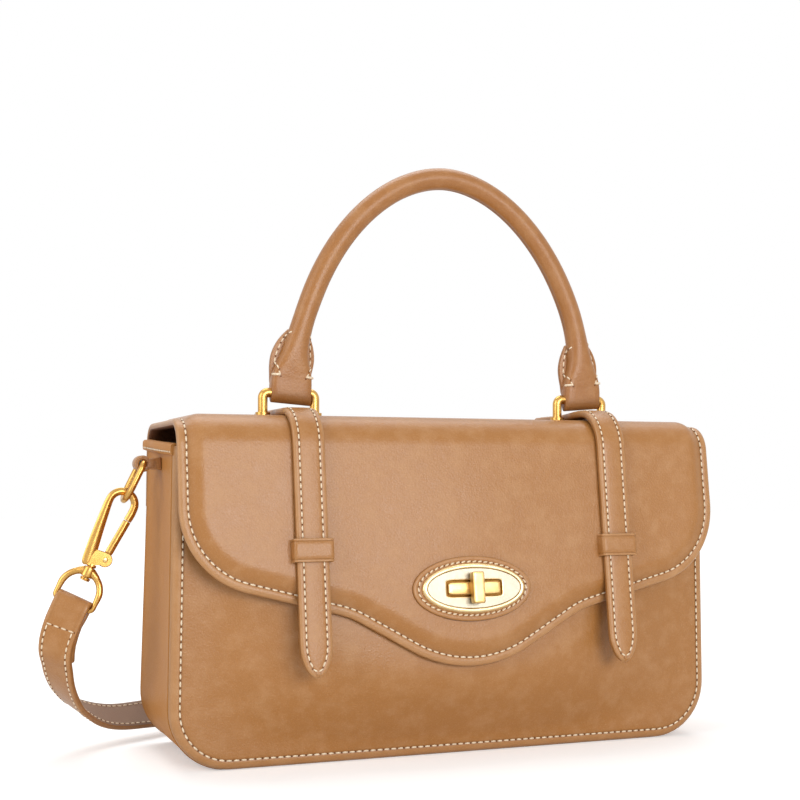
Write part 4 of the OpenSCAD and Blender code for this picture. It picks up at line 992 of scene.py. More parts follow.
# height above the bar, half width, half depth, squareness of the section
footRings = [
    (-4.9, 8.9, 0.15, 5), (-4.7, 9.1, 1.1, 5), (-4.2, 9.2, 2.0, 5), (-3.2, 9.3, 3.0, 5),
    (-1.6, 9.3, 3.6, 5), (0, 9.3, 3.8, 5), (3, 9.3, 3.9, 5), (6, 9.15, 4.0, 4.6),
    (8.5, 8.85, 4.2, 4), (11, 8.2, 4.45, 3.4), (14, 7.25, 4.7, 2.9), (17, 6.45, 4.85, 2.6),
    (20, 5.9, 4.95, 2.4), (24, 5.5, 5.0, 2.2), (28, 5.2, 5.0, 2.05), (34, 5.0, 5.0, 2),
]
# height above the bar and half width of the two wings
wingLine = [(2.2, 8.2), (4, 9.0), (7.5, 9.4), (11, 9.9), (15, 10.1), (18.5, 9.6), (22, 8.4), (25, 6.8), (27.5, 5.1)]


def handlePoint(t):
    c, s = math.cos(t), max(math.sin(t), 0.0)
    x = handleSet["halfSpan"] * math.copysign(abs(c) ** handleSet["power"], c)
    return np.array([x, handleSet["barY"], handleSet["barZ"] + handleSet["rise"] * s ** handleSet["power"]])


def handleAngle(h):
    return math.asin((max(h, 0) / handleSet["rise"]) ** (1 / handleSet["power"]))


def handleFrame(h):
    # place and leaning directions of the right foot at height h above the bar
    t = handleAngle(max(h, 0))
    step = handlePoint(t + 0.02) - handlePoint(t)
    turn = max(math.atan2(-step[0], step[2]), math.radians(handleSet["leastTilt"]))
    return handlePoint(t) + np.array([0, 0, min(h, 0)]), np.array([math.cos(turn), 0, math.sin(turn)])


backward = np.array([0.0, 1.0, 0.0])


def squareRing(centre, across, a, b, power, count=40):
    ring = []
    for k in range(count):
        c, s = math.cos(2 * math.pi * k / count), math.sin(2 * math.pi * k / count)
        u, v = math.copysign(abs(c) ** (2 / power), c), math.copysign(abs(s) ** (2 / power), s)
        ring.append(centre + a * u * across + b * v * backward)
    return np.array(ring)


def rollRing(t, radius, count=40):
    across = np.cross(backward, unit(handlePoint(t + 0.01) - handlePoint(t - 0.01)))
    return squareRing(handlePoint(t), across, radius, radius, 2, count), across


def mirrorX(points):
    return np.asarray(points) * np.array([-1, 1, 1])


def handleCover():
    foot, footTones = [], []
    for h, a, b, power in splinePath(footRings, 3):
        centre, across = handleFrame(h)
        ring = squareRing(centre, across, a, max(b, 0.1), max(power, 2))
        crease = 0.16 * math.exp(-((h - 10.5) / 3.5) ** 2)
        for k, p in enumerate(ring):
            side = (p - centre) @ across
            if p[1] < centre[1]:
                ring[k] = p + backward * crease * math.sin(1.15 * side + 1.5 * h) * (1 - abs(side) / 10)
        foot.append(ring)
        # painted shade: darker at the bottom of the foot, round the bar
        footTones.append([-0.35 * smooth((1.5 - h) / 4)] * len(ring))
    start = handleAngle(handleSet["footHigh"])
    roll = []
    for t in np.linspace(start, math.pi - start, 150)[1:-1]:
        # the seam is a groove along the inner side of the roll, with painted shade along it
        ring, across = rollRing(t, handleSet["rollRound"])
        for k, deep in ((19, 0.08), (20, 0.45), (21, 0.08)):
            ring[k] += across * deep
        roll.append(ring)
    rollTones = [[-0.5 if k == 20 else 0.0 for k in range(40)]] * len(roll)
    leftFoot = [mirrorX(ring) for ring in foot[::-1]]
    tones = footTones + rollTones + footTones[::-1]
    return loft("handleCover", foot + roll + leftFoot, camelRolled, tones, sharp=50)


def handleCore():
    # the filler inside the cover
    start = handleAngle(12)
    rows = [rollRing(t, handleSet["coreRound"], 20)[0] for t in np.linspace(start, math.pi - start, 90)]
    return loft("handleCore", rows, boardMaterial)


def wingHalf(h):
    line = splinePath(wingLine, 6)
    return float(np.interp(h, line[:, 0], line[:, 1]))


def wingPiece(side):
    places = [(*handleFrame(h), a) for h, a in splinePath(wingLine, 4)]
    outline = [centre + a * across for centre, across, a in places]
    outline = np.array(outline + [centre - a * across for centre, across, a in places[::-1]])
    middle = outline.mean(axis=0)
    rings, tones = [], []
    front, back = handleSet["wingFront"], handleSet["wingBack"]
    # tone: painted highlights on the rounded front and back edges, painted shade on the side toward the back
    for inset, y, tone in ((0.7, front, 0.0), (0.22, front + 0.12, 0.15), (0.0, front + 0.6, 0.0),
                           (0.0, back - 0.6, -0.2), (0.22, back - 0.12, 0.1), (0.7, back, 0.0)):
        rings.append([p - unit((p - middle) * np.array([1, 0, 1])) * inset + y * backward for p in outline])
        tones.append(tone)
    return loft(sided("wings", side), mirrorX(rings) if side < 0 else rings, camelRolled, tones, sharp=50)


def footFront(x, h):
    # front surface of the foot and its wings at height h, and the direction it faces
    line = splinePath(footRings, 3)
    a, b, power = (float(np.interp(h, line[:, 0], line[:, k])) for k in (1, 2, 3))
    share = abs(x) / a
    if share > 0.985:
        return handleSet["wingFront"], -backward
    y = -b * (1 - share ** power) ** (1 / power)
    out = unit((math.copysign(share ** (power - 1) / a, x), -(abs(y) / b) ** (power - 1) / b, 0))
    return min(y, handleSet["wingFront"]), out


def wingRows(side):
    rows = []
    mirror = np.array([side, 1, 1])
    for edge in (-1, 1):
        front, back = [], []
        for h in np.linspace(25.8, 8.0, 30):
            centre, across = handleFrame(h)
            inset = handleSet["wingStitchIn"] - 0.5 * smooth((h - 18) / 7) + 1.1 * smooth((12.5 - h) / 4.5)
            x = wingHalf(h) - inset
            y, out = footFront(x, h)
            turned = out[0] * edge * across + out[1] * backward
            front.append(((centre + edge * x * across + y * backward) * mirror, turned * mirror))
            place = centre + edge * (x - 0.6) * across + (handleSet["wingBack"] + 0.02) * backward
            back.append((place * mirror, (0, 1, 0)))
        rows += [front, back]
    return rows


def beadPiece(name, points, radius, material, step=0.25):
    # a rounded bar along a short path, thinner at its ends
    points = evenPath(points, step)
    stations = []
    for k, (place, tangent) in enumerate(zip(points, np.gradient(points, axis=0))):
        along = unit(tangent)
        across = unit(np.cross((0, 0, 1), along))
        high = np.cross(along, across)
        end = min(k, len(points) - 1 - k) * step / radius
        size = max(radius * (math.sqrt(1 - (1 - end) ** 2) if end < 1 else 1), 0.08)
        stations.append([place + size * (c * across + s * high) for c, s in circle(10)])
    return loft(name, stations, material, sharp=80)


def tackPieces(side):
    # the thick stitches that end the wings' seams
    h = handleSet["tackHeight"]
    centre, across = handleFrame(h)
    tacks = []
    for edge in (-1, 1):
        path = []
        for x in np.linspace(6.1, 9.5, 14):
            rise = 0.25 if x < 8.6 else 0.25 - 2.2 * (x - 8.6) / 1.6
            y = min(footFront(min(x, 8.55), h)[0] - rise, handleSet["wingFront"])
            path.append((centre + edge * x * across + y * backward) * (side, 1, 1))
        tacks.append(beadPiece("tack", path, 0.58, thread))
    return tacks


print("satchel: handle")
handleParts = [handleCover(), wingPiece(-1), wingPiece(1), handleCore()]
handleThread = stitchPiece("handleThread", wingRows(-1) + wingRows(1), pitch=3.1, length=2.4, width=0.8)
handleTacks = joined("handleTacks", tackPieces(-1) + tackPieces(1))
for piece in handleParts + [handleThread, handleTacks]:
    # the handle stands a little to the right in its bridges, more above them
    for vertex in piece.data.vertices:
        above = float(smooth((vertex.co.z / mm - handleSet["barZ"]) / 45))
        vertex.co.x += (handleSet["aside"] + handleSet["lean"] * above) * mm
    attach(piece, "handle")
for piece, node in zip(handleParts, ("handle_cover", "handle_end_left", "handle_end_right", "handle_core")):
    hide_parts(node)


# turn lock on the flap's face: stitched patch, plate with its raised rim, seat in the slot, and the knob

lockSet = {
    "drop": 63.3, "patchLong": 56.0, "patchHigh": 28.5, "plateLong": 48.5, "plateHigh": 22.0, "plateFace": 3.1,
    "slotLong": 26.4, "slotHigh": 7.2, "seatLong": 24.6, "seatHigh": 5.5, "stitchIn": 2.5, "cornerPower": 9,
}


def lockPoint(x, v, h):
    # x to the right and v upwards from the lock's centre, h out from the flap's face
    return onFlap(x, lengthFace + lockSet["drop"] - v, h)


def ovalRing(kind, inset, h):
    a, b = lockSet[kind + "Long"] / 2 - inset, lockSet[kind + "High"] / 2 - inset
    return [lockPoint(a * c, b * s, h) for c, s in circle(120)]


def slotRing(kind, grow, h):
    a, b = lockSet[kind + "Long"] / 2 + grow, lockSet[kind + "High"] / 2 + grow
    return [lockPoint(a * u, b * v, h) for u, v in squared(lockSet["cornerPower"], 120)]


def lockPatch():
    # inset, height and tone, from the underside over the edge and the pressed line to the slot; the tone is painted
    # shade under the edge, in the pressed line and under the plate, and a painted highlight on the rounded edge
    lines = [(-0.35, -0.8, -0.9), (-0.3, 0.02, -0.9), (0.0, 0.0, -0.8), (0.0, 0.7, -0.35), (0.12, 1.15, 0.0),
             (0.4, 1.42, 0.15), (0.9, 1.5, 0.05), (1.7, 1.46, 0), (2.2, 1.3, -0.12), (2.5, 1.22, -0.2),
             (2.8, 1.3, -0.12), (3.3, 1.46, 0), (4.2, 1.5, 0), (6.5, 1.5, -0.3), (7.5, 1.4, 0)]
    rings = [ovalRing("patch", inset, h) for inset, h, _ in lines] + [slotRing("slot", 0.6, h) for h in (1.4, -0.8)]
    tones = [tone for *_, tone in lines] + [0, 0, -0.9]
    return loft("lockPatch", rings + rings[:1], camel, tones, caps=False, sharp=60)


def lockPlate():
    face = lockSet["plateFace"]
    lines = [(0.0, 1.5), (0.0, 2.35), (0.12, 2.75), (0.45, 3.2), (0.8, 3.5), (1.1, 3.62), (1.6, 3.62), (1.95, 3.5),
             (2.08, 3.25), (2.14, face - 0.1), (2.34, face - 0.1), (2.4, face), (2.8, face)]
    slot = [(0.85, face), (0.5, face), (0.28, face - 0.06), (0.12, face - 0.22), (0.0, face - 0.6), (0.0, 1.5)]
    rings = [ovalRing("plate", inset, h) for inset, h in lines] + [slotRing("slot", grow, h) for grow, h in slot]
    # rim, fine line round the field, field, and the slot's edge; the fine line is dark as painted shade in its groove,
    # and the field pale as a painted highlight
    kinds = [[kind] for kind, count in ((0, 9), (2, 1), (1, 4), (0, 5)) for _ in range(count)]
    materials = [rimBrass, fieldHighlightBrass, grooveShade]
    return loft("lockPlate", rings + rings[:1], materials, caps=False, sharp=28, kinds=kinds)


def lockSeat():
    rings = [slotRing("slot", -0.05, h) for h in (1.6, 1.9)]
    lines = ((0.02, 1.9), (0.0, 2.6), (-0.1, 3.05), (-0.35, 3.3), (-0.75, 3.4))
    rings += [slotRing("seat", grow, h) for grow, h in lines]
    # the slot's wall and the ledge round the seat are dark brass: painted shade in the gap
    kinds = [[kind] for kind in (1, 1, 0, 0, 0, 0)]
    return loft("lockSeat", rings, [brushedBrass, grooveShade], sharp=28, kinds=kinds, capKinds=(1, 0))


def knobPiece():
    # an upright bar with bevelled edges on a round foot: height, half width, half length, squareness, tone; the tone is
    # painted shade, darkest at the foot and lighter up the sides
    lines = [(3.3, 1.5, 1.5, 2, -0.35), (3.46, 1.5, 1.5, 2, -0.35), (3.5, 1.9, 4.6, 4, -0.35),
             (4.0, 2.0, 4.9, 4, -0.35), (4.35, 2.2, 5.9, 6, -0.3), (4.6, 2.6, 6.7, 10, -0.25),
             (5.0, 2.66, 6.85, 12, -0.1), (8.2, 2.66, 6.88, 12, -0.1), (8.3, 2.62, 6.86, 12, 0.0),
             (8.56, 2.4, 6.66, 10, 0.0), (8.64, 2.2, 6.5, 9, 0.0), (8.66, 1.3, 5.7, 6, 0.0)]
    stations = [[lockPoint(w * u, l * v, h) for u, v in squared(power, 64)] for h, w, l, power, _ in lines]
    return loft("turnKnob", stations, brushedBrass, [tone for *_, tone in lines], sharp=35)


def lockRow():
    a, b = (lockSet[key] / 2 - lockSet["stitchIn"] for key in ("patchLong", "patchHigh"))
    return [(lockPoint(a * math.cos(q), b * math.sin(q), 1.28), flapOut(lengthFace))
            for q in np.linspace(0, 2 * math.pi, 240)]


print("satchel: turn lock")
patchPiece, platePiece, seatPiece = lockPatch(), lockPlate(), lockSeat()
lockThread = stitchPiece("lockThread", [lockRow()], pitch=2.6, length=2.15, width=0.78, slant=16)
for piece in (patchPiece, platePiece, seatPiece, lockThread):
    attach(piece, "flap_front")
turnKnob = knobPiece()
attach(turnKnob, "knob")
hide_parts("lock_patch")
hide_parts("lock_plate")
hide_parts("lock_seat")


# side clips: leather tube loops, rings, hooks with their gates and pins, swivels

clipSet = {
    "loopZ": 130.0, "loopOut": 7.0, "loopLong": 7.0, "loopRound": 3.65, "loopHole": 1.75, "tongue": 2.3,
    "ringLong": 17.5, "ringHalf": 6.5, "ringCorner": 2.4, "ringWire": 1.55, "leftLean": 26.0, "rightLean": 76.0,
    "rightSlant": 40.0, "bowRound": 5.62, "bowZ": -2.2, "hookBase": -32.4, "pivot": (4.0, -27.2), "nose": (5.4, -7.9),
    "gateWire": 1.62, "collarLow": -37.2, "collarLong": 4.5, "swivelHalf": 8.85, "swivelDrop": 15.0,
    "swivelWire": 1.18, "leftTurn": -22.0,
}


def rotated(v, axis, a):
    # v turned by a degrees about the X, Y or Z axis (0, 1 or 2)
    c, s = math.cos(math.radians(a)), math.sin(math.radians(a))
    i, j = (axis + 1) % 3, (axis + 2) % 3
    out = np.array(v, float)
    out[i], out[j] = v[i] * c - v[j] * s, v[i] * s + v[j] * c
    return out


loopX = sideX(clipSet["loopZ"]) + clipSet["loopOut"]


def atLoop(side, v):
    leaned = rotated(v, 1, clipSet["leftLean"] if side < 0 else -clipSet["rightLean"])
    return leaned + np.array([side * loopX, 0, clipSet["loopZ"]])


def atHook(side, v):
    if side < 0:
        return atLoop(side, np.asarray(v, float) + (0, 0, -clipSet["ringLong"]))
    slanted = rotated(rotated(v, 0, 90), 2, clipSet["rightSlant"])
    return atLoop(side, slanted + (0, clipSet["ringHalf"], clipSet["ringHalf"] - clipSet["ringLong"]))


def atClip(side, v):
    # the strap's weight turns the left swivel a little about the hook's stem
    return atHook(side, rotated(v, 2, clipSet["leftTurn"]) if side < 0 else v)


def clipWay(side, v):
    return atClip(side, v) - atClip(side, (0, 0, 0))


# shares of half width and half thickness: a bar with a ridge along its front and back, and a round wire
ridgeLine = [(1, 0), (1, 0.38), (0.9, 0.52), (0.22, 0.94), (0, 0.97), (-0.22, 0.94), (-0.9, 0.52), (-1, 0.38)]
ridged = ridgeLine + [(-a, -b) for a, b in ridgeLine]


def barLoft(name, place, path, material, closed=False, sharp=32):
    # path rows are (x, z, half width, half thickness, roundness) in the clip's plane
    path = np.asarray(path, float)
    rows = []
    count = len(path)
    for k, (x, z, wide, thick, soft) in enumerate(path):
        before = path[(k - 1) % count if closed else max(k - 1, 0)]
        after = path[(k + 1) % count if closed else min(k + 1, count - 1)]
        tangent = unit([after[0] - before[0], 0, after[1] - before[1]])
        across = np.array([tangent[2], 0, -tangent[0]])
        ring = []
        for (a, b), (c, d) in zip(ridged, circle(16)):
            u, v = a + (c - a) * soft, b + (d - b) * soft
            ring.append(place(np.array([x, 0, z]) + across * u * wide + np.array([0, v * thick, 0])))
        rows.append(ring)
    if closed:
        rows.append(rows[0])
    return loft(name, rows, material, caps=not closed, sharp=sharp)


def lathe(name, place, profile, material, count, sharp=32):
    # profile rows are (radius, z) from one end to the other
    rows = [[place(np.array([r * c, r * s, z])) for c, s in circle(count)] for r, z in profile]
    return loft(name, rows, material, sharp=sharp)


def ringLoopPiece(side):
    # a thick strip folded round the ring's wire and sewn down against the gusset
    r, half, z0, tongue = clipSet["loopRound"], clipSet["loopLong"] / 2, clipSet["loopZ"], clipSet["tongue"]
    inner = (sideX(z0) - 1.0) - loopX
    start = math.asin(tongue / r)
    outline = [(r * math.cos(q), r * math.sin(q)) for q in np.linspace(math.pi - start, -math.pi + start, 34)]
    near, far = outline[-1][0], outline[0][0]
    outline += [(near * (1 - share) + inner * share, -tongue - 0.5 * share) for share in np.linspace(0, 1, 6)[1:]]
    outline += [(inner, -tongue - 0.5 + (2 * tongue + 1.0) * share) for share in np.linspace(0, 1, 7)[:-1]]
    outline += [(inner * (1 - share) + far * share, tongue + 0.5 * (1 - share)) for share in np.linspace(0, 1, 6)[:-1]]
    hole = clipSet["loopHole"] * np.array([facing(math.atan2(b, a)) for a, b in outline])

    def section(y, share, soft):
        ring = []
        for (a, b), (c, d) in zip(outline, hole):
            away = unit((a, b)) * soft
            x, z = (a - away[0]) * (1 - share) + c * share, (b - away[1]) * (1 - share) + d * share
            ring.append((side * (loopX + x), y, z0 + z))
        return ring

    # from one edge of the outer side to the other: y, share of the way to the hole, softness, tone; the tone is a
    # painted highlight on the rounded edges and painted shade inside the hole, with a darker line across the middle of
    # the end
    edge = [(half - 0.5, 0, 0, 0), (half - 0.15, 0, 0.12, 0.2), (half, 0, 0.45, 0.25), (half, 0.35, 0, 0),
            (half, 0.5, 0, -0.35), (half, 0.62, 0, 0), (half, 0.85, 0, 0), (half - 0.15, 0.97, 0, -0.3),
            (half - 0.6, 1, 0, -0.9)]
    lines = [(-edge[0][0], *edge[0][1:])] + mirrored(edge)
    tones = [tone for *_, tone in lines]
    rows = [section(y, share, soft) for y, share, soft, _ in lines]
    return loft(sided("ringLoop", side), rows, camel, tones, caps=False, sharp=50)


def ringPiece(side):
    # the ring's plane is its own YZ plane, so the path's first number is Y
    half, long, corner, wire = (clipSet["ring" + key] for key in ("Half", "Long", "Corner", "Wire"))
    top = roundedPath([(0, 0, 0), (half, 0, corner), (half, half - long, 0)], 8)
    bottom = [(half * math.cos(q), -long + half + half * math.sin(q)) for q in np.linspace(0, -math.pi, 25)[1:-1]]
    outline = list(map(tuple, top)) + bottom + [(-a, b) for a, b in top[:0:-1]]
    rows = [(y, z, wire * 1.04, wire * 0.92, 0.62) for y, z in evenPath(outline + [outline[0]], 0.8)[:-1]]
    return barLoft(sided("ring", side), lambda v: atLoop(side, (v[1], v[0], v[2])), rows, brass, closed=True)


def hookPiece(side):
    bow, bowZ, base = clipSet["bowRound"], clipSet["bowZ"], clipSet["hookBase"]
    (noseX, noseZ), (px, pz) = clipSet["nose"], clipSet["pivot"]

    def place(v):
        return atHook(side, v)

    line = [(-2.2, base + 0.1, 1.2, 1.1, 0.5), (-2.35, base + 0.7, 2.1, 1.5, 0.3), (-2.5, base + 2.2, 2.55, 1.62, 0.1),
            (-2.95, base + 6, 2.6, 1.65, 0), (-3.75, base + 12, 2.4, 1.65, 0), (-4.5, base + 18, 2.15, 1.6, 0),
            (-5.15, base + 24, 1.9, 1.55, 0.05), (-5.55, bowZ - 2.5, 1.75, 1.52, 0.1)]
    line += [(bow * math.cos(q), bowZ + bow * math.sin(q), 1.66, 1.5, 0.25) for q in np.linspace(math.pi, 0, 13)]
    line += [(bow + 0.02, bowZ - 2.2, 1.7, 1.5, 0.2), (noseX + 0.1, noseZ + 1.6, 1.7, 1.5, 0.1),
             (noseX - 0.05, noseZ + 0.12, 1.62, 1.46, 0.1)]
    body = barLoft("hookBody", place, splinePath(line, 4), brass)
    # lug that carries the gate between two cheeks
    outline = [(px + 3.2 * math.cos(q), pz + 3.2 * math.sin(q)) for q in np.linspace(-1.9, 1.75, 18)]
    outline += [(px - 2.6, pz + 3.0), (px - 5.2, pz + 2.6), (-2.6, base + 3), (-2.2, base + 0.3), (-0.4, base)]
    outline = np.array(outline + [(px - 2.4, pz - 3.6)])
    middle = outline.mean(axis=0)
    cheeks = []
    for layers in (((-1.5, 0.3), (-1.25, 0), (-1.1, 0), (-0.85, 0)), ((0.85, 0), (1.1, 0), (1.25, 0), (1.5, 0.3))):
        rows = [[place(np.array([x, y, z])) for x, z in (p - unit(p - middle) * inset for p in outline)]
                for y, inset in layers]
        cheeks.append(loft("cheek", rows, brass, sharp=32))
    profile = [(2.1, base + 1.2), (2.2, base + 0.3), (1.9, base - 0.05), (1.5, base - 0.15), (1.5, -37.4),
               (2.15, -37.5), (2.35, -37.65), (2.35, -38.0), (2.1, -38.15), (1.95, -38.25), (2.1, -38.4),
               (2.1, -38.7), (1.7, -38.9), (0.9, -39.0)]
    return joined(sided("hook", side), [body, *cheeks, lathe("neck", place, profile, brass, 24)])


def gatePinPiece(side):
    px, pz = clipSet["pivot"]
    end = [(0.8, 1.4), (1.15, 1.45), (1.15, 1.62), (0.95, 1.9), (0.5, 2.05)]
    profile = [(r, -y) for r, y in end[::-1]] + end
    return lathe(sided("gatePin", side), lambda v: atHook(side, np.array([px + v[0], v[2], pz + v[1]])), profile,
                 brightBrass, 20)


def gatePiece(side):
    (noseX, noseZ), (px, pz), wide = clipSet["nose"], clipSet["pivot"], clipSet["gateWire"]
    along = unit((noseX - px, noseZ - pz))
    reach = math.hypot(noseX - px, noseZ - pz)
    # distance from the pivot, half width, half thickness, roundness
    lines = [(-1.6, 0.9, 0.55, 0.6), (-0.8, 1.8, 0.6, 0.4), (0.8, 1.9, 0.6, 0.3), (2.6, 1.5, 0.62, 0.2),
             (3.35, wide, 0.7, 0.1), (3.5, wide, 1.3, 0.05), (4.2, wide * 1.04, 1.36, 0), (reach * 0.5, wide, 1.36, 0),
             (reach - 1.2, wide, 1.34, 0), (reach - 0.45, wide, 1.3, 0), (reach - 0.12, wide * 0.9, 1.2, 0)]
    path = [(px + along[0] * s, pz + along[1] * s, *rest) for s, *rest in lines]
    return barLoft(sided("gate", side), lambda v: atHook(side, v), path, brass)


def swivelPiece(side):
    half, drop, wire = clipSet["swivelHalf"], clipSet["swivelDrop"], clipSet["swivelWire"]
    bottom = clipSet["collarLow"]
    mid = bottom + clipSet["collarLong"] / 2
    low, centre = mid - drop, mid - half

    def place(v):
        return atClip(side, v)

    arc = [(half * math.cos(q), centre + half * math.sin(q)) for q in np.linspace(math.pi / 2, 0, 13)]
    right = arc + [tuple(p) for p in roundedPath([(half, centre, 0), (half, low, 1.6), (0, low, 0)], 8)[1:]]
    outline = right + [(-x, z) for x, z in right[-2:0:-1]]
    path = [(x, z, wire + 0.3 * smooth((z - low - 2.5) / 6)) for x, z in evenPath(outline + [outline[0]], 0.8)[:-1]]
    loop = barLoft("swivelLoop", place, [(x, z, w, w, 0.9) for x, z, w in path], brass, closed=True, sharp=50)
    profile = [(1.62, 0.05), (2.3, 0), (2.6, 0.25), (2.68, 0.9), (2.72, 2.2), (2.68, 3.5), (2.6, 4.2), (2.3, 4.5),
               (1.62, 4.45)]
    collar = lathe("collar", place, [(r, bottom + z) for r, z in profile], brass, 32, sharp=36)
    steps = [(1.9, 0.1, 2.0, 1.8), (3.0, -0.35, 1.8, 1.65), (4.4, -1.05, 1.55, 1.5), (5.4, -1.8, 1.3, 1.3)]
    shoulders = [barLoft("shoulder", place, [(end * x, mid + z, w, t, 1.0) for x, z, w, t in steps], brass)
                 for end in (-1, 1)]
    return joined(sided("swivel", side), [loop, collar, *shoulders])


print("satchel: side clips")
for side, label in ((-1, "left"), (1, "right")):
    for make, body, node in ((ringLoopPiece, "bag", "ring_loop_"), (ringPiece, label + "_ring", "ring_"),
                             (hookPiece, label + "_hook", "hook_"), (gatePinPiece, label + "_hook", "gate_pin_"),
                             (gatePiece, label + "_gate", "gate_"), (swivelPiece, label + "_clip", "swivel_")):
        piece = make(side)
        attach(piece, body)
        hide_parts(node + label)


# shoulder strap: two halves that meet behind the bag, each doubled round the bar of its swivel and sewn

sashSet = {
    "width": 15.6, "thickness": 2.6, "bar": -49.95, "turnRound": 6.0, "layOut": 7.9, "frontY": 87.0, "backY": 99.0,
    "foldX": 100.1, "restX": 75.4, "joinFrom": 22.0, "joinTo": 32.0, "stitchIn": 2.0, "barRound": 1.25,
    "blendBelow": 12, "blendHalf": 7.5,
}
# place, azimuth and elevation of the strip's width on its way from the left clip to the floor
leftLead = [
    (-170.4, 1.5, 52.9, -31, -24), (-170.4, 5, 44.4, -35, -22), (-168.8, 10.5, 36.1, -43, -17),
    (-165.4, 17.5, 28.2, -58, -9), (-160.4, 25, 21.4, -76, -6), (-154.6, 32, 17.6, -80, -20),
    (-146.6, 39, 13.8, -78, -31), (-136.7, 46, 11.5, -76, -36), (-121.2, 55, 10.7, -74, -42),
    (-105, 66, 9.3, -74, -56), (-90, 78, 8.2, -78, -74), (-75.4, 87, 7.9, -90, -90),
]
# shares of the way from the floor up to the right clip, azimuth and elevation
rightLead = [
    (0, 0, 0, -90, -90), (0.32, 0.010, 0.015, -90, -88), (0.60, 0.060, 0.070, -92, -82), (0.80, 0.150, 0.170, -94, -76),
    (0.92, 0.270, 0.310, -97, -69), (0.98, 0.410, 0.470, -99, -62), (1, 0.560, 0.620, -102, -56),
    (1.01, 0.700, 0.750, -104, -52), (1.01, 0.840, 0.870, -106, -49),
]


def barPlace(side, below):
    return atClip(side, (0, 0, sashSet["bar"] - below))


def widthWay(azimuth, elevation):
    a, e = math.radians(azimuth), math.radians(elevation)
    return np.array([math.cos(e) * math.cos(a), math.cos(e) * math.sin(a), math.sin(e)])


def sashRoute():
    # rows of place and width direction, from the left bar round behind the bag to the right bar
    rows = [(*barPlace(-1, below), *clipWay(-1, (1, 0, 0))) for below in (0, 5, 9)]
    rows += [(x, y, z, *widthWay(azimuth, elevation)) for x, y, z, azimuth, elevation in leftLead]
    r, z = sashSet["turnRound"], sashSet["layOut"]
    for x, y, side in ((sashSet["foldX"], sashSet["frontY"], 1), (-sashSet["foldX"], sashSet["backY"], -1)):
        rows += [(x + side * r * math.sin(a), y + r * (1 - math.cos(a)), z, 0, 0, -1)
                 for a in np.linspace(0, math.pi, 9)]
    start, end = np.array([sashSet["restX"], sashSet["backY"] + 12, z]), barPlace(1, 32)
    for s0, s1, s2, azimuth, elevation in rightLead:
        rows.append((*(start + np.array([s0, s1, s2]) * (end - start)), *widthWay(azimuth, elevation)))
    rows += [(*barPlace(1, below), *clipWay(1, (-1, 0, 0))) for below in (26, 18, 10, 5, 0)]
    # the long straight runs get rows between, so that the curve through them stays straight
    route = [np.array(rows[0])]
    for row, after in zip(rows[1:], rows[2:] + rows[-1:]):
        row, last = np.array(row), route[-1]
        gap = np.linalg.norm(row[:3] - last[:3])
        if gap > 40:
            ahead = min(max(np.linalg.norm(row[:3] - after[:3]), 3), 14)
            for at in np.concatenate([[3, 8], np.arange(18, gap - ahead - 6, 12), [gap - ahead]]):
                route.append(last + (row - last) * at / gap)
        route.append(row)
    return np.array(route)


def sashHalves():
    fine = splinePath(sashRoute(), 6)
    run = runOf(fine[:, :3])
    cut = int(np.searchsorted(run, run[-1] / 2))
    return fine[:cut + 1], fine[cut:][::-1]


def sashSection(centre, wide, out, thick):
    # one closed ring across the strip, with the tones of its points; the tones are painted shade in the pressed line
    # and down the edge to the underside, and a painted highlight on the rounded top edge
    half, top = sashSet["width"] / 2, thick / 2
    soft = min(0.45, thick * 0.3)
    ring = mirrored([(half - 2.6, top, 0), (half - 2.0, top - 0.06, -0.12), (half - 1.3, top, 0.05),
                     (half - soft, top - 0.08, 0.12), (half - 0.12, top - soft, 0.0), (half, top - soft * 1.4, -0.25),
                     (half, soft * 1.4 - top, -0.35), (half - 0.12, soft * 0.6 - top, -0.3), (half - soft, -top, -0.2),
                     (half - 2.6, -top, 0)])
    return [centre + wide * u + out * v for u, v, _ in ring], [t for *_, t in ring]


def sashFrames(side, route):
    # length from the bar, place, width and finished side along the way
    places = route[:, :3]
    wides, outs = [], []
    for row, tangent in zip(route, np.gradient(places, axis=0)):
        tangent = unit(tangent)
        wides.append(unit(row[3:] - tangent * (row[3:] @ tangent)))
        outs.append(np.cross(wides[-1], tangent) * side)
    return runOf(places), places, np.array(wides), np.array(outs)


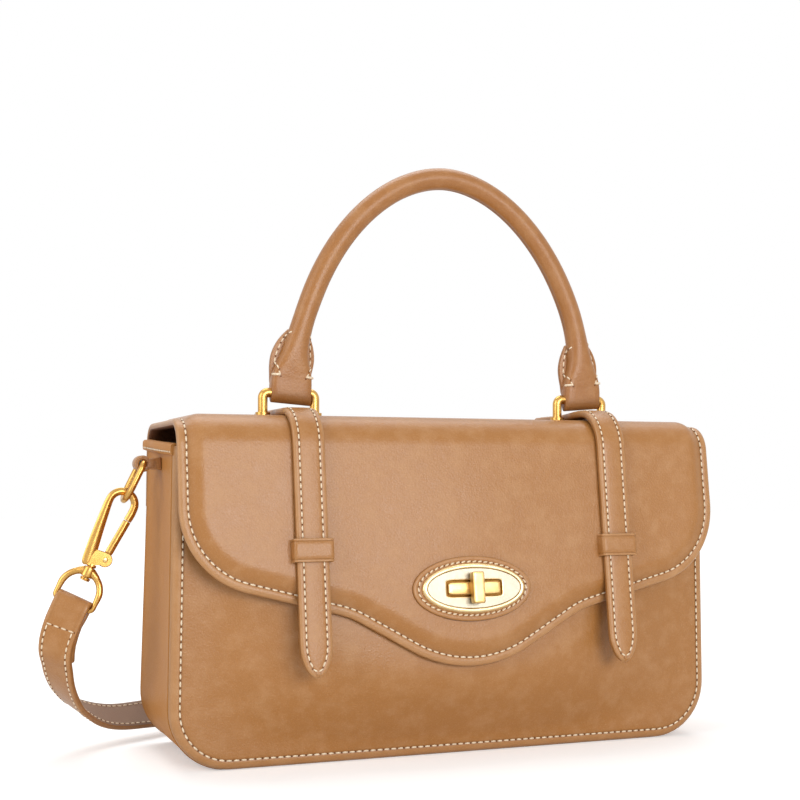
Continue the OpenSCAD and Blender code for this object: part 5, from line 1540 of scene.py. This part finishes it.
def sashPiece(side, route):
    # the free end lies behind, goes up round the bar and comes down in front
    thick = sashSet["thickness"]
    middle = thick / 2
    turn = sashSet["barRound"] + middle
    run, places, wides, outs = sashFrames(side, route)

    def frameAt(length):
        return [np.array([np.interp(length, run, rows[:, k]) for k in range(3)]) for rows in (places, wides, outs)]

    def apart(length):
        joining = 1 - smooth((length - sashSet["joinFrom"]) / (sashSet["joinTo"] - sashSet["joinFrom"]))
        return (middle + (turn - middle) * smooth((9.5 - length) / 8.0)) * joining

    rows = []
    for length in (26, 25.5, 22, 18, 14, 11, 8.5, 6.5, 4.5, 3, 1.6):
        centre, wide, out = frameAt(length)
        rows.append((centre - out * max(apart(length), middle), wide, -out))
    behind = rows[1:6]
    down = unit(places[1] - places[0])
    for q in np.linspace(0, math.pi, 13)[1:-1]:
        out = -outs[0] * math.cos(q) - down * math.sin(q)
        rows.append((places[0] + out * turn, wides[0], out))
    before = [(length, *frameAt(length)) for length in (1.6, 3, 4.5, 6.5, 8.5, 11, 12.6, 15, 18)]
    before += [frame for frame in zip(run, places, wides, outs) if frame[0] > 19.5]
    before = [(centre + out * apart(length), wide, out) for length, centre, wide, out in before]
    rows += before
    stations, tones = [], []
    for k, (centre, wide, out) in enumerate(rows):
        ring, tone = sashSection(centre, wide, out, thick * (0.72 if k == 0 else 1))
        stations.append(ring)
        # the first two rings, at the free end, are darker still
        tones.append([t - (0.25 if k < 2 else 0) for t in tone])
    kinds = [1 if 8 <= c <= 10 else 0 for c in range(len(tones[0]))]
    piece = loft(sided("sash", side), stations, [camel, strapInside], tones, sharp=60, kinds=kinds)
    return piece, behind, before[5:]


def sashRows(behind, path):
    # the short row across below the fold, the two edge rows, and the same rows seen from behind
    half, high = sashSet["width"] / 2 - sashSet["stitchIn"], sashSet["thickness"] / 2
    centre, wide, out = path[0]
    rows = [[(centre + wide * u + out * high, out) for u in np.linspace(-5.1, 5.1, 12)]]
    for edge in (-1, 1):
        for frames, face in ((path[1:], 1), (behind, 1), (path[8:], -1)):
            rows.append([(c + w * half * edge + o * high * face, o * face) for c, w, o in frames])
    return rows


print("satchel: shoulder strap")
for side, label, route in zip((-1, 1), ("left", "right"), sashHalves()):
    sash, behind, before = sashPiece(side, route)
    sashThread = stitchPiece(sided("sashThread", side), sashRows(behind, before), pitch=3.2, length=2.45, width=0.75)
    # the height below the part of the strap that is doubled round the swivel's bar; no blend uses it
    blendTop = barPlace(side, sashSet["blendBelow"])[2] - sashSet["blendHalf"] * abs(clipWay(side, (1, 0, 0))[2])
    for piece in (sash, sashThread):
        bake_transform(piece)
    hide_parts("shoulder_strap")


# CAD pieces that stay, with their finishes

finishes = {
    "lining": liningCloth, "base_board": boardMaterial, "handle_core": boardMaterial,
    "handle_cover": camelRolled, "handle_end_left": camelRolled, "handle_end_right": camelRolled,
    "lock_patch": camel, "ring_loop_left": camel, "ring_loop_right": camel, "shoulder_strap": camel,
    "lock_plate": brightBrass, "lock_seat": brass, "turn_knob": brass, "lock_plate_backing": brass, "lock_base": brass,
}
for name, node in cadNodes.items():
    material = finishes.get(name, brass)
    if not node.data.materials:
        node.data.materials.append(material)
    for slot in node.material_slots:
        slot.material = material
